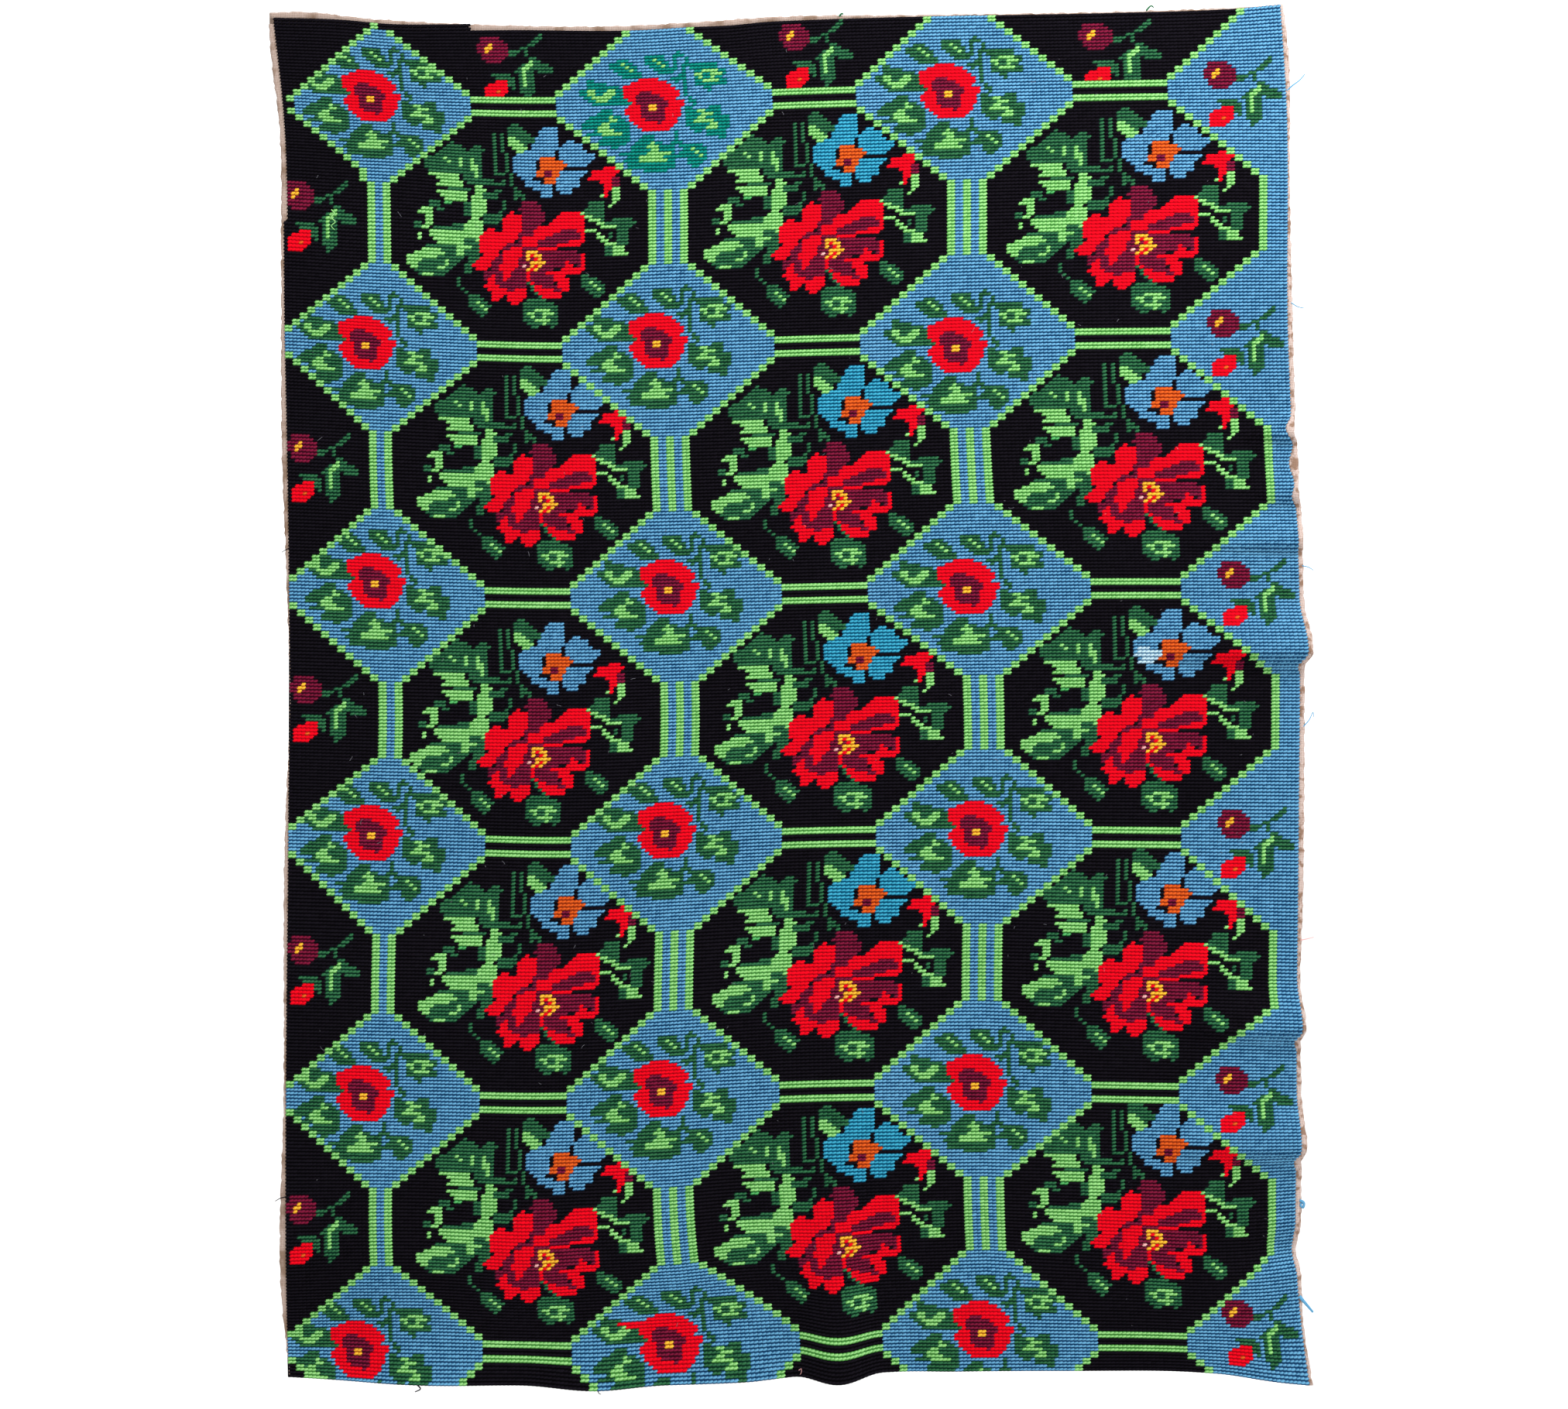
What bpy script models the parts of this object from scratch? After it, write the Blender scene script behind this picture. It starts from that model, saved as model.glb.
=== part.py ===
"""Cross-stitch wall hanging: one panel of canvas covered in wool stitches, as it hangs.

Millimetres in the tables, metres in the mesh, +Z up. The origin is the middle of the top edge,
the stitched face looks along -Y, and the wall would stand behind the panel at +Y.
Across is measured to the right from the origin, and down is measured from it towards the floor.
"""

import math

import bpy
import numpy as np

MM = 0.001

# Canvas of about 1 mm with the wool worked on its face and the yarn's runs on its back.
PANEL_THICKNESS = 3.0
SHARP_ANGLE = math.radians(60.0)

# The strip along the top that is held flat, and how far the loose cloth below it stands off the wall.
HEADING_DEPTH = 60.0
STAND_OFF = 10.0
STAND_OFF_RUN = 420.0

# The four edges of the hung panel. Columns: place along the edge, where the edge lies there.
TOP_EDGE = (  # across, down
    (-654.0, -5.7),
    (-610.0, -6.5),
    (-520.0, 2.7),
    (-440.0, 7.5),
    (-348.0, 11.0),
    (-210.0, 12.0),
    (-104.0, 7.0),
    (0.0, 0.0),
    (190.0, -2.5),
    (434.0, -6.5),
    (600.0, -12.0),
    (657.0, -15.0),
)
HEM_EDGE = (  # across, down
    (-624.0, 1755.0),
    (-532.0, 1762.0),
    (-455.0, 1766.0),
    (-318.0, 1766.0),
    (-228.0, 1769.0),
    (-147.0, 1766.0),
    (0.0, 1759.0),
    (60.0, 1752.0),
    (130.0, 1750.0),
    (434.0, 1747.5),
    (559.0, 1750.0),
    (629.0, 1756.0),
    (694.0, 1766.0),
)
LEFT_EDGE = (  # down, across
    (-5.7, -654.0),
    (60.0, -649.0),
    (130.0, -640.0),
    (310.0, -636.0),
    (580.0, -634.0),
    (710.0, -629.0),
    (925.0, -625.0),
    (1010.0, -629.0),
    (1395.0, -632.0),
    (1650.0, -635.0),
    (1755.0, -624.0),
)
RIGHT_EDGE = (  # down, across
    (-15.0, 657.0),
    (37.0, 663.0),
    (213.0, 665.0),
    (390.0, 668.0),
    (500.0, 671.0),
    (640.0, 679.0),
    (966.0, 683.0),
    (1142.0, 681.0),
    (1260.0, 677.0),
    (1388.0, 679.0),
    (1538.0, 679.0),
    (1628.0, 679.0),
    (1688.0, 682.0),
    (1764.0, 694.0),
)

# Upright folds that open towards the hem. The first is the deep one that shows in the photo.
# Columns: across, half width, reach up from the hem, depth towards the viewer, drop of the hem.
HEM_FOLDS = (
    (83.0, 58.0, 330.0, 26.0, 15.0),
    (12.0, 52.0, 240.0, -9.0, 0.0),
    (172.0, 62.0, 260.0, -8.0, 0.0),
    (-235.0, 95.0, 300.0, 7.0, 3.0),
    (-560.0, 80.0, 380.0, -6.0, 0.0),
    (480.0, 110.0, 300.0, -6.0, 0.0),
    (640.0, 70.0, 240.0, 8.0, 2.0),
)

# Pleats that run in from the loose right edge: the cloth swells towards the viewer down to a crest
# and tucks back sharply under it.
# Columns: down at the crest, swell above, tuck below, reach inwards, depth, how far the edge juts out.
SIDE_PLEATS = (
    (540.0, 40.0, 16.0, 90.0, 9.0, -4.0),
    (616.0, 44.0, 22.0, 80.0, 8.0, -3.0),
    (680.0, 46.0, 14.0, 190.0, 7.0, 0.0),
    (820.0, 72.0, 16.0, 260.0, 17.0, 9.0),
    (1306.0, 66.0, 16.0, 210.0, 14.0, 6.0),
    (1460.0, 74.0, 16.0, 240.0, 14.0, 5.0),
    (1592.0, 40.0, 34.0, 160.0, -10.0, -5.0),
)

# Broad soft swells of the hanging cloth. Columns: across, down, half width, half height, depth.
SWELLS = (
    (-420.0, 520.0, 230.0, 330.0, 5.0),
    (-60.0, 760.0, 260.0, 300.0, -5.0),
    (330.0, 420.0, 220.0, 260.0, 4.0),
    (-330.0, 1180.0, 250.0, 280.0, -5.0),
    (250.0, 1130.0, 240.0, 300.0, 6.0),
    (-520.0, 1540.0, 180.0, 220.0, 6.0),
    (560.0, 1080.0, 150.0, 160.0, -5.0),
)

# The grid that the cloth is drawn on, as shares of the width and of the height.
# Columns: from, to, number of steps.
ACROSS_STEPS = (
    (0.0, 0.42, 8),
    (0.42, 0.66, 14),
    (0.66, 0.80, 4),
    (0.80, 1.0, 9),
)
DOWN_STEPS = (
    (0.0, 0.04, 2),
    (0.04, 0.28, 7),
    (0.28, 0.41, 11),
    (0.41, 0.50, 9),
    (0.50, 0.70, 6),
    (0.70, 0.93, 23),
    (0.93, 1.0, 4),
)


def smooth_edge(table, places):
    """Read an edge table at the given places on one smooth curve through its points."""
    points = np.array(table)
    along = points[:, 0]
    out = points[:, 1]
    slopes = np.gradient(out, along)
    index = np.clip(np.searchsorted(along, places, side="right") - 1, 0, len(along) - 2)
    span = along[index + 1] - along[index]
    t = np.clip((places - along[index]) / span, 0.0, 1.0)
    rise = t * t * (3.0 - 2.0 * t)
    bend_start = t * (1.0 - t) ** 2 * span * slopes[index]
    bend_end = t * t * (t - 1.0) * span * slopes[index + 1]
    return out[index] * (1.0 - rise) + out[index + 1] * rise + bend_start + bend_end


def stations(table):
    """List the shares of a grid's lines from a table of stretches and their numbers of steps."""
    stretches = [np.linspace(start, end, steps, endpoint=False) for start, end, steps in table]
    return np.append(np.concatenate(stretches), table[-1][1])


def hill(distance):
    """Give a soft hill: 1 in the middle, 0 at a distance of 1 and beyond."""
    return np.where(np.abs(distance) < 1.0, 0.5 + 0.5 * np.cos(np.pi * distance), 0.0)


def flat_shape(share_across, share_down):
    """Give across and down of each grid point from the four edges."""
    across_top = TOP_EDGE[0][0] + share_across * (TOP_EDGE[-1][0] - TOP_EDGE[0][0])
    across_hem = HEM_EDGE[0][0] + share_across * (HEM_EDGE[-1][0] - HEM_EDGE[0][0])
    top = smooth_edge(TOP_EDGE, across_top)
    hem = smooth_edge(HEM_EDGE, across_hem)
    down = top + share_down * (hem - top)
    left = smooth_edge(LEFT_EDGE, down)
    right = smooth_edge(RIGHT_EDGE, down)
    return left + share_across * (right - left), down


def hem_folds(across, down):
    """Give the depth and the drop that the upright folds add at each point."""
    depth = np.zeros_like(across)
    drop = np.zeros_like(across)
    hem = smooth_edge(HEM_EDGE, across)
    for middle, half_width, reach, fold_depth, fold_drop in HEM_FOLDS:
        nearness = np.clip(1.0 - (hem - down) / reach, 0.0, 1.0)
        ridge = hill((across - middle) / half_width)
        depth += fold_depth * ridge * nearness ** 1.5
        drop += fold_drop * ridge * nearness ** 3
    return depth, drop


def side_pleats(across, down):
    """Give the depth and the sideways jut that the pleats of the right edge add."""
    depth = np.zeros_like(across)
    jut = np.zeros_like(across)
    right = smooth_edge(RIGHT_EDGE, down)
    for crest, swell, tuck, reach, pleat_depth, pleat_jut in SIDE_PLEATS:
        below = down - crest
        profile = hill(below / np.where(below < 0.0, swell, tuck))
        nearness = np.clip(1.0 - (right - across) / reach, 0.0, 1.0)
        fade = nearness * nearness * (3.0 - 2.0 * nearness)
        depth += pleat_depth * profile * fade
        jut += pleat_jut * profile * nearness ** 4
    return depth, jut


def swells(across, down):
    """Give the depth of the broad swells."""
    depth = np.zeros_like(across)
    for middle, height, half_width, half_height, swell_depth in SWELLS:
        depth += swell_depth * hill((across - middle) / half_width) * hill((down - height) / half_height)
    return depth


def stand_off(down):
    """Give how far the cloth stands off the wall: nothing at the flat heading, all of it lower down."""
    t = np.clip((down - HEADING_DEPTH) / STAND_OFF_RUN, 0.0, 1.0)
    return STAND_OFF * t * t * (3.0 - 2.0 * t)


def hung_cloth():
    """Give the middle surface of the hung cloth as grids of x, y and z in metres."""
    share_across, share_down = np.meshgrid(stations(ACROSS_STEPS), stations(DOWN_STEPS))
    across, down = flat_shape(share_across, share_down)
    fold_depth, fold_drop = hem_folds(across, down)
    pleat_depth, pleat_jut = side_pleats(across, down)
    depth = stand_off(down) + fold_depth + pleat_depth + swells(across, down)
    return (across + pleat_jut) * MM, -depth * MM, -(down + fold_drop) * MM


def panel_mesh():
    """Build the cloth's middle surface as one open grid that faces the viewer."""
    x, y, z = hung_cloth()
    rows, columns = x.shape
    corner = np.arange(rows * columns).reshape(rows, columns)
    faces = np.stack(
        (corner[1:, :-1], corner[1:, 1:], corner[:-1, 1:], corner[:-1, :-1]), axis=-1
    ).reshape(-1, 4)
    mesh = bpy.data.meshes.new("embroidered_panel")
    mesh.from_pydata(np.stack((x, y, z), axis=-1).reshape(-1, 3).tolist(), [], faces.tolist())
    mesh.shade_smooth()
    mesh.set_sharp_from_angle(angle=SHARP_ANGLE)
    return mesh


def wool_material():
    """Make the wool of the stitched face: a near-black ground with the rest of its colours small in it."""
    material = bpy.data.materials.new("wool_stitching")
    material.use_nodes = True
    shader = material.node_tree.nodes["Principled BSDF"]
    shader.inputs["Base Color"].default_value = (0.045, 0.10, 0.10, 1.0)
    shader.inputs["Roughness"].default_value = 0.92
    shader.inputs["Metallic"].default_value = 0.0
    return material


def embroidered_panel():
    """Make the panel: the hung middle surface, given its thickness on both sides."""
    panel = bpy.data.objects.new("embroidered_panel", panel_mesh())
    bpy.context.scene.collection.objects.link(panel)
    panel.data.materials.append(wool_material())
    thickness = panel.modifiers.new("cloth_thickness", "SOLIDIFY")
    thickness.thickness = PANEL_THICKNESS * MM
    thickness.offset = 0.0
    thickness.use_even_offset = True
    return panel


def main():
    """Clear the scene and build the hanging."""
    for item in list(bpy.data.objects):
        bpy.data.objects.remove(item, do_unlink=True)
    embroidered_panel()


main()
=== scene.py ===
"""Looks of a cross-stitch wall hanging: canvas, wool stitches on its face, yarn runs on its back.

The design is a folk lattice of blue diamonds joined by striped bars, with roses and bouquets between.
It is charted in whole stitches, drawn from petals, leaves and stems.
Lengths in the tables are millimetres, across to the right and down from the middle of the top edge.
Meshes are in metres, +Z up, and the stitched face looks along -Y.
"""

import logging
import math
from dataclasses import dataclass, field
from enum import Enum, IntEnum

import bpy
import numpy as np
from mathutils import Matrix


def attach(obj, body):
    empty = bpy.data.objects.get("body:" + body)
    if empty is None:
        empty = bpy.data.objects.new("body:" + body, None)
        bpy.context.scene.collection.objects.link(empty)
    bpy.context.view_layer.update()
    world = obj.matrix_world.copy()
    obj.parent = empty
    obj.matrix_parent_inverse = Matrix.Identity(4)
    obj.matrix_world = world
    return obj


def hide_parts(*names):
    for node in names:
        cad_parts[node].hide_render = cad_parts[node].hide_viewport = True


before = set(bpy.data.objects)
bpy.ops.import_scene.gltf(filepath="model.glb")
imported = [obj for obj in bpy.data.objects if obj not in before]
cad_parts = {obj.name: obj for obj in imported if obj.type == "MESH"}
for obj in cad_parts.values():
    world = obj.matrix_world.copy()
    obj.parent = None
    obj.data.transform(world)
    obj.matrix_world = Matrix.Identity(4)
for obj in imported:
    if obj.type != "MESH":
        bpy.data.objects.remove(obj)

logging.basicConfig(level=logging.INFO, format="%(name)s: %(message)s")
LOG = logging.getLogger("wall_hanging")

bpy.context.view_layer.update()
MM = 0.001
THREAD = 1.5  # from one thread of the canvas to the next, in millimetres
FINE = 3.0  # detail of a fine noise
BODY = "root"
PANEL_NODE = "embroidered_panel"

Table = tuple[tuple[float, ...], ...]
Points = tuple[tuple[int, int], ...]
Blocks = tuple[tuple[int, int, int, int], ...]
Colour = tuple[int, int, int]
Place = tuple[float, float, float]
Range = tuple[float, float]
Socket = bpy.types.NodeSocket
Inputs = dict[str | int, Socket | float | tuple]


class Yarn(IntEnum):
    """The yarns of the chart. BARE is canvas with no stitch on it."""

    BARE = 0
    BLACK = 1
    BLUE = 2
    LIME = 3
    GREEN = 4
    DARK_GREEN = 5
    RED = 6
    MAROON = 7
    ORANGE = 8
    YELLOW = 9
    TURQUOISE = 10
    TEAL = 11
    PINK = 12
    PALE_BLUE = 13


class Slot(Enum):
    """The material slots of the record."""

    WOOL = "wool_stitching"
    CANVAS = "ground_canvas"


def smooth_edge(table: Table, places: np.ndarray) -> np.ndarray:
    """Read an edge table on one smooth curve: cubic pieces whose slopes are those of the neighbours.

    Args:
        table: rows of a place along the edge and where the edge lies there.
        places: the places to read.

    Returns:
        Where the edge lies at each place.
    """
    points = np.array(table)
    return smooth_rows(points[:, 0], points[:, 1], places)


def smooth_rows(along: np.ndarray, values: np.ndarray, places: np.ndarray) -> np.ndarray:
    """Read values that are known at a few places on smooth curves through them.

    Args:
        along: the known places, rising.
        values: the value at each known place, or one row of values for each.
        places: the places to read.

    Returns:
        The value, or the row of values, at each place.
    """
    slopes = np.gradient(values, along, axis=0)
    index = np.clip(np.searchsorted(along, places, side="right") - 1, 0, len(along) - 2)
    span = along[index + 1] - along[index]
    t = np.clip((places - along[index]) / span, 0.0, 1.0)
    if values.ndim == 2:
        span = span[:, None]
        t = t[:, None]
    rise = t * t * (3.0 - 2.0 * t)
    bend_start = t * (1.0 - t) ** 2 * span * slopes[index]
    bend_end = t * t * (t - 1.0) * span * slopes[index + 1]
    return values[index] * (1.0 - rise) + values[index + 1] * rise + bend_start + bend_end


def hill(distance: np.ndarray) -> np.ndarray:
    """Give a soft hill: 1 in the middle, 0 at a distance of 1 and beyond."""
    return np.where(np.abs(distance) < 1.0, 0.5 + 0.5 * np.cos(np.pi * distance), 0.0)


@dataclass(frozen=True)
class HungCloth:
    """The shape in which the panel hangs: its four edges, its folds, pleats and swells."""

    top_edge: Table = (  # across, down
        (-654.0, -5.7), (-610.0, -6.5), (-520.0, 2.7), (-440.0, 7.5), (-348.0, 11.0), (-210.0, 12.0),
        (-104.0, 7.0), (0.0, 0.0), (190.0, -2.5), (434.0, -6.5), (600.0, -12.0), (657.0, -15.0),
    )
    hem_edge: Table = (  # across, down
        (-624.0, 1755.0), (-532.0, 1762.0), (-455.0, 1766.0), (-318.0, 1766.0), (-228.0, 1769.0),
        (-147.0, 1766.0), (0.0, 1759.0), (60.0, 1752.0), (130.0, 1750.0), (434.0, 1747.5),
        (559.0, 1750.0), (629.0, 1756.0), (694.0, 1766.0),
    )
    left_edge: Table = (  # down, across
        (-5.7, -654.0), (60.0, -649.0), (130.0, -640.0), (310.0, -636.0), (580.0, -634.0),
        (710.0, -629.0), (925.0, -625.0), (1010.0, -629.0), (1395.0, -632.0), (1650.0, -635.0),
        (1755.0, -624.0),
    )
    right_edge: Table = (  # down, across
        (-15.0, 657.0), (37.0, 663.0), (213.0, 665.0), (390.0, 668.0), (500.0, 671.0), (640.0, 679.0),
        (966.0, 683.0), (1142.0, 681.0), (1260.0, 677.0), (1388.0, 679.0), (1538.0, 679.0),
        (1628.0, 679.0), (1688.0, 682.0), (1764.0, 694.0),
    )
    hem_folds: Table = (  # across, half width, reach up, depth, drop of the hem
        (83.0, 58.0, 330.0, 26.0, 10.0),
        (12.0, 52.0, 240.0, -9.0, 0.0),
        (172.0, 62.0, 260.0, -8.0, 0.0),
        (-235.0, 95.0, 300.0, 7.0, 3.0),
        (-560.0, 80.0, 380.0, -6.0, 0.0),
        (480.0, 110.0, 300.0, -6.0, 0.0),
        (640.0, 70.0, 240.0, 8.0, 2.0),
    )
    side_pleats: Table = (  # down at the crest, swell above, tuck below, reach, depth, jut
        (540.0, 40.0, 13.0, 90.0, 10.0, -4.0),
        (616.0, 44.0, 18.0, 80.0, 9.0, -3.0),
        (680.0, 46.0, 13.0, 190.0, 10.0, 0.0),
        (820.0, 72.0, 20.0, 260.0, 22.0, 9.0),
        (1306.0, 66.0, 18.0, 210.0, 18.0, 6.0),
        (1460.0, 74.0, 18.0, 240.0, 18.0, 5.0),
        (1592.0, 40.0, 34.0, 160.0, -10.0, -5.0),
    )
    swells: Table = (  # across, down, half width, half height, depth
        (-420.0, 520.0, 230.0, 330.0, 5.0),
        (-60.0, 760.0, 260.0, 300.0, -5.0),
        (330.0, 420.0, 220.0, 260.0, 4.0),
        (-330.0, 1180.0, 250.0, 280.0, -5.0),
        (250.0, 1130.0, 240.0, 300.0, 6.0),
        (-520.0, 1540.0, 180.0, 220.0, 6.0),
        (560.0, 1080.0, 150.0, 160.0, -5.0),
    )
    heading_depth: float = 60.0
    stand_off: float = 10.0
    stand_off_run: float = 420.0
    ridge_taper: float = 1.5
    drop_taper: float = 3.0
    jut_taper: float = 4.0

    def middle(self, across: np.ndarray, down: np.ndarray) -> np.ndarray:
        """Place points of the cloth's middle surface: the flat place, plus stand-off, folds and swells.

        Args:
            across: places to the right of the middle of the top edge.
            down: places below it.

        Returns:
            Points in metres, with x, y and z along the last axis.
        """
        t = np.clip((down - self.heading_depth) / self.stand_off_run, 0.0, 1.0)
        depth = self.stand_off * t * t * (3.0 - 2.0 * t)
        drop = np.zeros_like(depth)
        jut = np.zeros_like(depth)
        hem = smooth_edge(self.hem_edge, across)
        for middle, half_width, reach, fold_depth, fold_drop in self.hem_folds:
            nearness = np.clip(1.0 - (hem - down) / reach, 0.0, 1.0)
            ridge = hill((across - middle) / half_width)
            depth = depth + fold_depth * ridge * nearness ** self.ridge_taper
            drop = drop + fold_drop * ridge * nearness ** self.drop_taper
        right = smooth_edge(self.right_edge, down)
        for crest, swell, tuck, reach, pleat_depth, pleat_jut in self.side_pleats:
            below = down - crest
            profile = hill(below / np.where(below < 0.0, swell, tuck))
            nearness = np.clip(1.0 - (right - across) / reach, 0.0, 1.0)
            depth = depth + pleat_depth * profile * nearness * nearness * (3.0 - 2.0 * nearness)
            jut = jut + pleat_jut * profile * nearness ** self.jut_taper
        for middle, height, half_width, half_height, swell_depth in self.swells:
            spread = hill((across - middle) / half_width) * hill((down - height) / half_height)
            depth = depth + swell_depth * spread
        return np.stack((across + jut, -depth, -(down + drop)), axis=-1) * MM

    def outward(self, across: np.ndarray, down: np.ndarray) -> np.ndarray:
        """Give the unit normals towards the viewer, from the slopes over a short step each way.

        Args:
            across: places to the right.
            down: places below the top edge.

        Returns:
            The normals, with x, y and z along the last axis.
        """
        step = 1.0
        rightwards = self.middle(across + step, down) - self.middle(across - step, down)
        downwards = self.middle(across, down + step) - self.middle(across, down - step)
        normal = np.cross(downwards, rightwards)
        return normal / np.linalg.norm(normal, axis=-1, keepdims=True)

    def place(self, across: np.ndarray, down: np.ndarray, out: np.ndarray | float) -> np.ndarray:
        """Place points that stand off the middle surface.

        Args:
            across: places to the right.
            down: places below the top edge.
            out: how far they stand out towards the viewer, in millimetres.

        Returns:
            Points in metres.
        """
        lift = np.asarray(out, dtype=float)[..., None] * MM
        return self.middle(across, down) + self.outward(across, down) * lift


@dataclass(frozen=True)
class Curl:
    """A stretch of the right edge that is drawn in and curls: its middle, its reach and its depth."""

    down: float
    half: float
    drawn_in: float


@dataclass(frozen=True)
class StitchLattice:
    """The grid of counted threads that the stitches lie on, as the hung cloth has pulled it."""

    cloth: HungCloth = field(default_factory=HungCloth)
    columns: int = 253
    rows: int = 392
    rows_above: int = 2
    knot_columns: tuple[int, ...] = (0, 50, 72, 126, 148, 202, 224)
    across_knots: Table = (  # row, then across at each knot column
        (0, -651.0, -402.0, -290.5, -11.0, 98.0, 379.0, 502.5),
        (23, -640.0, -392.0, -282.0, -3.0, 105.0, 384.5, 507.5),
        (95, -630.5, -383.0, -273.0, 0.0, 110.5, 387.0, 511.0),
        (167, -625.0, -373.0, -262.5, 9.5, 120.5, 407.5, 524.0),
        (239, -626.0, -373.0, -262.0, 9.5, 131.0, 409.0, 524.5),
        (311, -629.0, -380.0, -267.5, 6.5, 129.0, 408.5, 521.5),
        (383, -627.0, -376.0, -260.5, 33.5, 139.5, 417.0, 532.5),
        (392, -626.0, -376.0, -260.0, 36.0, 141.0, 418.0, 533.5),
    )
    shift_columns: tuple[int, ...] = (0, 25, 99, 175, 253)
    shifts: Table = (  # row, then the sideways pull at each shift column
        (0, 0.0, 0.0, 0.0, 0.0, 0.0),
        (59, 0.0, -0.5, 1.0, 1.0, 0.0),
        (95, 0.0, 0.0, 0.0, 0.0, 0.0),
        (131, 0.0, -4.5, -2.0, -2.5, 0.0),
        (167, 0.0, 0.0, 0.0, 0.0, 0.0),
        (203, 0.0, 4.5, 4.0, 2.0, 0.0),
        (239, 0.0, 0.0, 0.0, 0.0, 0.0),
        (275, 0.0, -2.0, 0.0, -2.0, 0.0),
        (311, 0.0, 0.0, 0.0, 0.0, 0.0),
        (347, 0.0, -3.5, -6.0, -2.0, 0.0),
        (383, 0.0, 0.0, 0.0, 0.0, 0.0),
        (392, 0.0, 0.0, 0.0, 0.0, 0.0),
    )
    right_margin: Table = (  # down, width of the bare margin
        (-15.0, 4.0), (213.0, 7.0), (640.0, 5.5), (966.0, 7.0), (1388.0, 6.0), (1628.0, 4.0),
        (1688.0, 3.0), (1764.0, 5.0),
    )
    top_row: Table = (  # column, down at the top of row 0
        (0, 9.0), (20, 12.5), (30, 17.0), (50, 17.5), (61, 17.0), (95, 17.0), (108, 13.0), (117, 11.0),
        (126, 6.5), (137, 4.0), (165, -0.5), (213, -5.5), (242, -11.0), (253, -16.0),
    )
    level_columns: tuple[int, ...] = (0, 50, 61, 137, 213, 253)
    levels: Table = (  # row, then down at each level column
        (23, 104.5, 115.5, 116.5, 104.5, 95.0, 92.0),
        (95, 420.0, 432.5, 434.0, 425.5, 415.0, 412.0),
        (167, 742.5, 750.0, 751.0, 744.5, 736.0, 734.0),
        (239, 1063.0, 1070.5, 1072.0, 1059.0, 1056.0, 1055.0),
        (311, 1395.5, 1401.0, 1402.0, 1386.0, 1384.5, 1384.0),
        (383, 1716.0, 1721.5, 1722.5, 1709.0, 1709.0, 1713.0),
    )
    sags: Table = (  # row, then how much lower the cloth hangs there at each shift column
        (0, 0.0, 0.0, 0.0, 0.0, 0.0),
        (23, 0.0, 0.0, 0.0, 0.0, 0.0),
        (48, -5.0, -5.0, 2.0, 0.0, 0.0),
        (70, 3.0, 3.5, 0.0, 0.0, 1.0),
        (95, 0.0, 0.0, 0.0, 0.0, 2.5),
        (120, -2.0, -2.0, 0.0, 0.0, 5.0),
        (142, 1.0, 1.0, 0.0, 0.0, 7.0),
        (167, 0.0, 0.0, 0.0, 0.0, 5.0),
        (192, 1.5, 1.5, -1.0, 0.0, 3.5),
        (214, 3.0, 3.0, -1.0, 0.0, 3.5),
        (239, 0.0, 0.0, 0.0, 0.0, 7.0),
        (264, 2.5, 2.5, -1.5, 0.0, 11.0),
        (286, 3.5, 3.5, 1.0, -1.0, 11.5),
        (311, 0.0, 0.0, 0.0, 0.0, 8.0),
        (336, 2.5, 2.5, 6.5, -1.0, 5.0),
        (358, 8.0, 8.5, 12.0, -5.0, 9.0),
        (383, 0.0, 0.0, 0.0, 0.0, 2.0),
        (392, 0.0, 0.0, 0.0, 0.0, 0.0),
    )
    curls: tuple[Curl, ...] = (
        Curl(533.0, 17.0, 7.0), Curl(578.0, 26.0, 6.0), Curl(621.0, 15.0, 4.0), Curl(838.0, 12.0, 3.0),
        Curl(1324.0, 12.0, 3.0), Curl(1478.0, 12.0, 3.0),
    )
    curl_reach: float = 30.0
    curl_taper: float = 1.5

    def curl(self, down: np.ndarray) -> np.ndarray:
        """Give how far the right edge is drawn in at each height, in millimetres."""
        return sum(bend.drawn_in * hill((down - bend.down) / bend.half) for bend in self.curls)

    def pull(self, table: Table, columns: np.ndarray, rows: np.ndarray) -> np.ndarray:
        """Spread a table of pulls over the lattice: straight between its columns, smooth between its rows.

        Args:
            table: rows of a row number and the pull at each shift column.
            columns: all columns of crossings.
            rows: all rows of crossings.

        Returns:
            The pull at each crossing.
        """
        pulls = np.array(table)
        known_rows = [np.interp(columns, self.shift_columns, row) for row in pulls[:, 1:]]
        return smooth_rows(pulls[:, 0], np.array(known_rows), rows)

    def threads(self) -> tuple[np.ndarray, np.ndarray]:
        """Lay out the grid of thread crossings: smooth curves down through the knots of each column.

        Returns:
            Across and down at every crossing, row by row, from rows_above above row 0.
        """
        columns = np.arange(self.columns + 1, dtype=float)
        rows = np.arange(self.rows + 1, dtype=float)
        heights = np.array([row[0] for row in self.levels])
        level_rows = [smooth_rows(np.array(self.level_columns, dtype=float), np.array(row[1:]), columns)
                      for row in self.levels]
        top = smooth_edge(self.top_row, columns)
        across_rows = np.array([row[0] for row in self.across_knots], dtype=float)
        hem_guess = np.full_like(columns, self.cloth.hem_edge[-1][1])
        knot_downs = [top, *level_rows, hem_guess]
        across_knots = []
        for knots, downs in zip(self.across_knots, knot_downs):
            low = downs[-1:]
            right = smooth_edge(self.cloth.right_edge, low) - smooth_edge(self.right_margin, low)
            places = np.append(np.array(self.knot_columns, dtype=float), self.columns)
            across_knots.append(np.interp(columns, places, np.append(knots[1:], right)))
        across = smooth_rows(across_rows, np.array(across_knots), rows)
        across = across + self.pull(self.shifts, columns, rows)
        hem = smooth_edge(self.cloth.hem_edge, across[-1])
        down_rows = np.concatenate(([0.0], heights, [float(self.rows)]))
        down = smooth_rows(down_rows, np.array([top, *level_rows, hem]), rows)
        down = down + self.pull(self.sags, columns, rows)
        above = np.arange(-self.rows_above, 0)[:, None]
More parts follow.
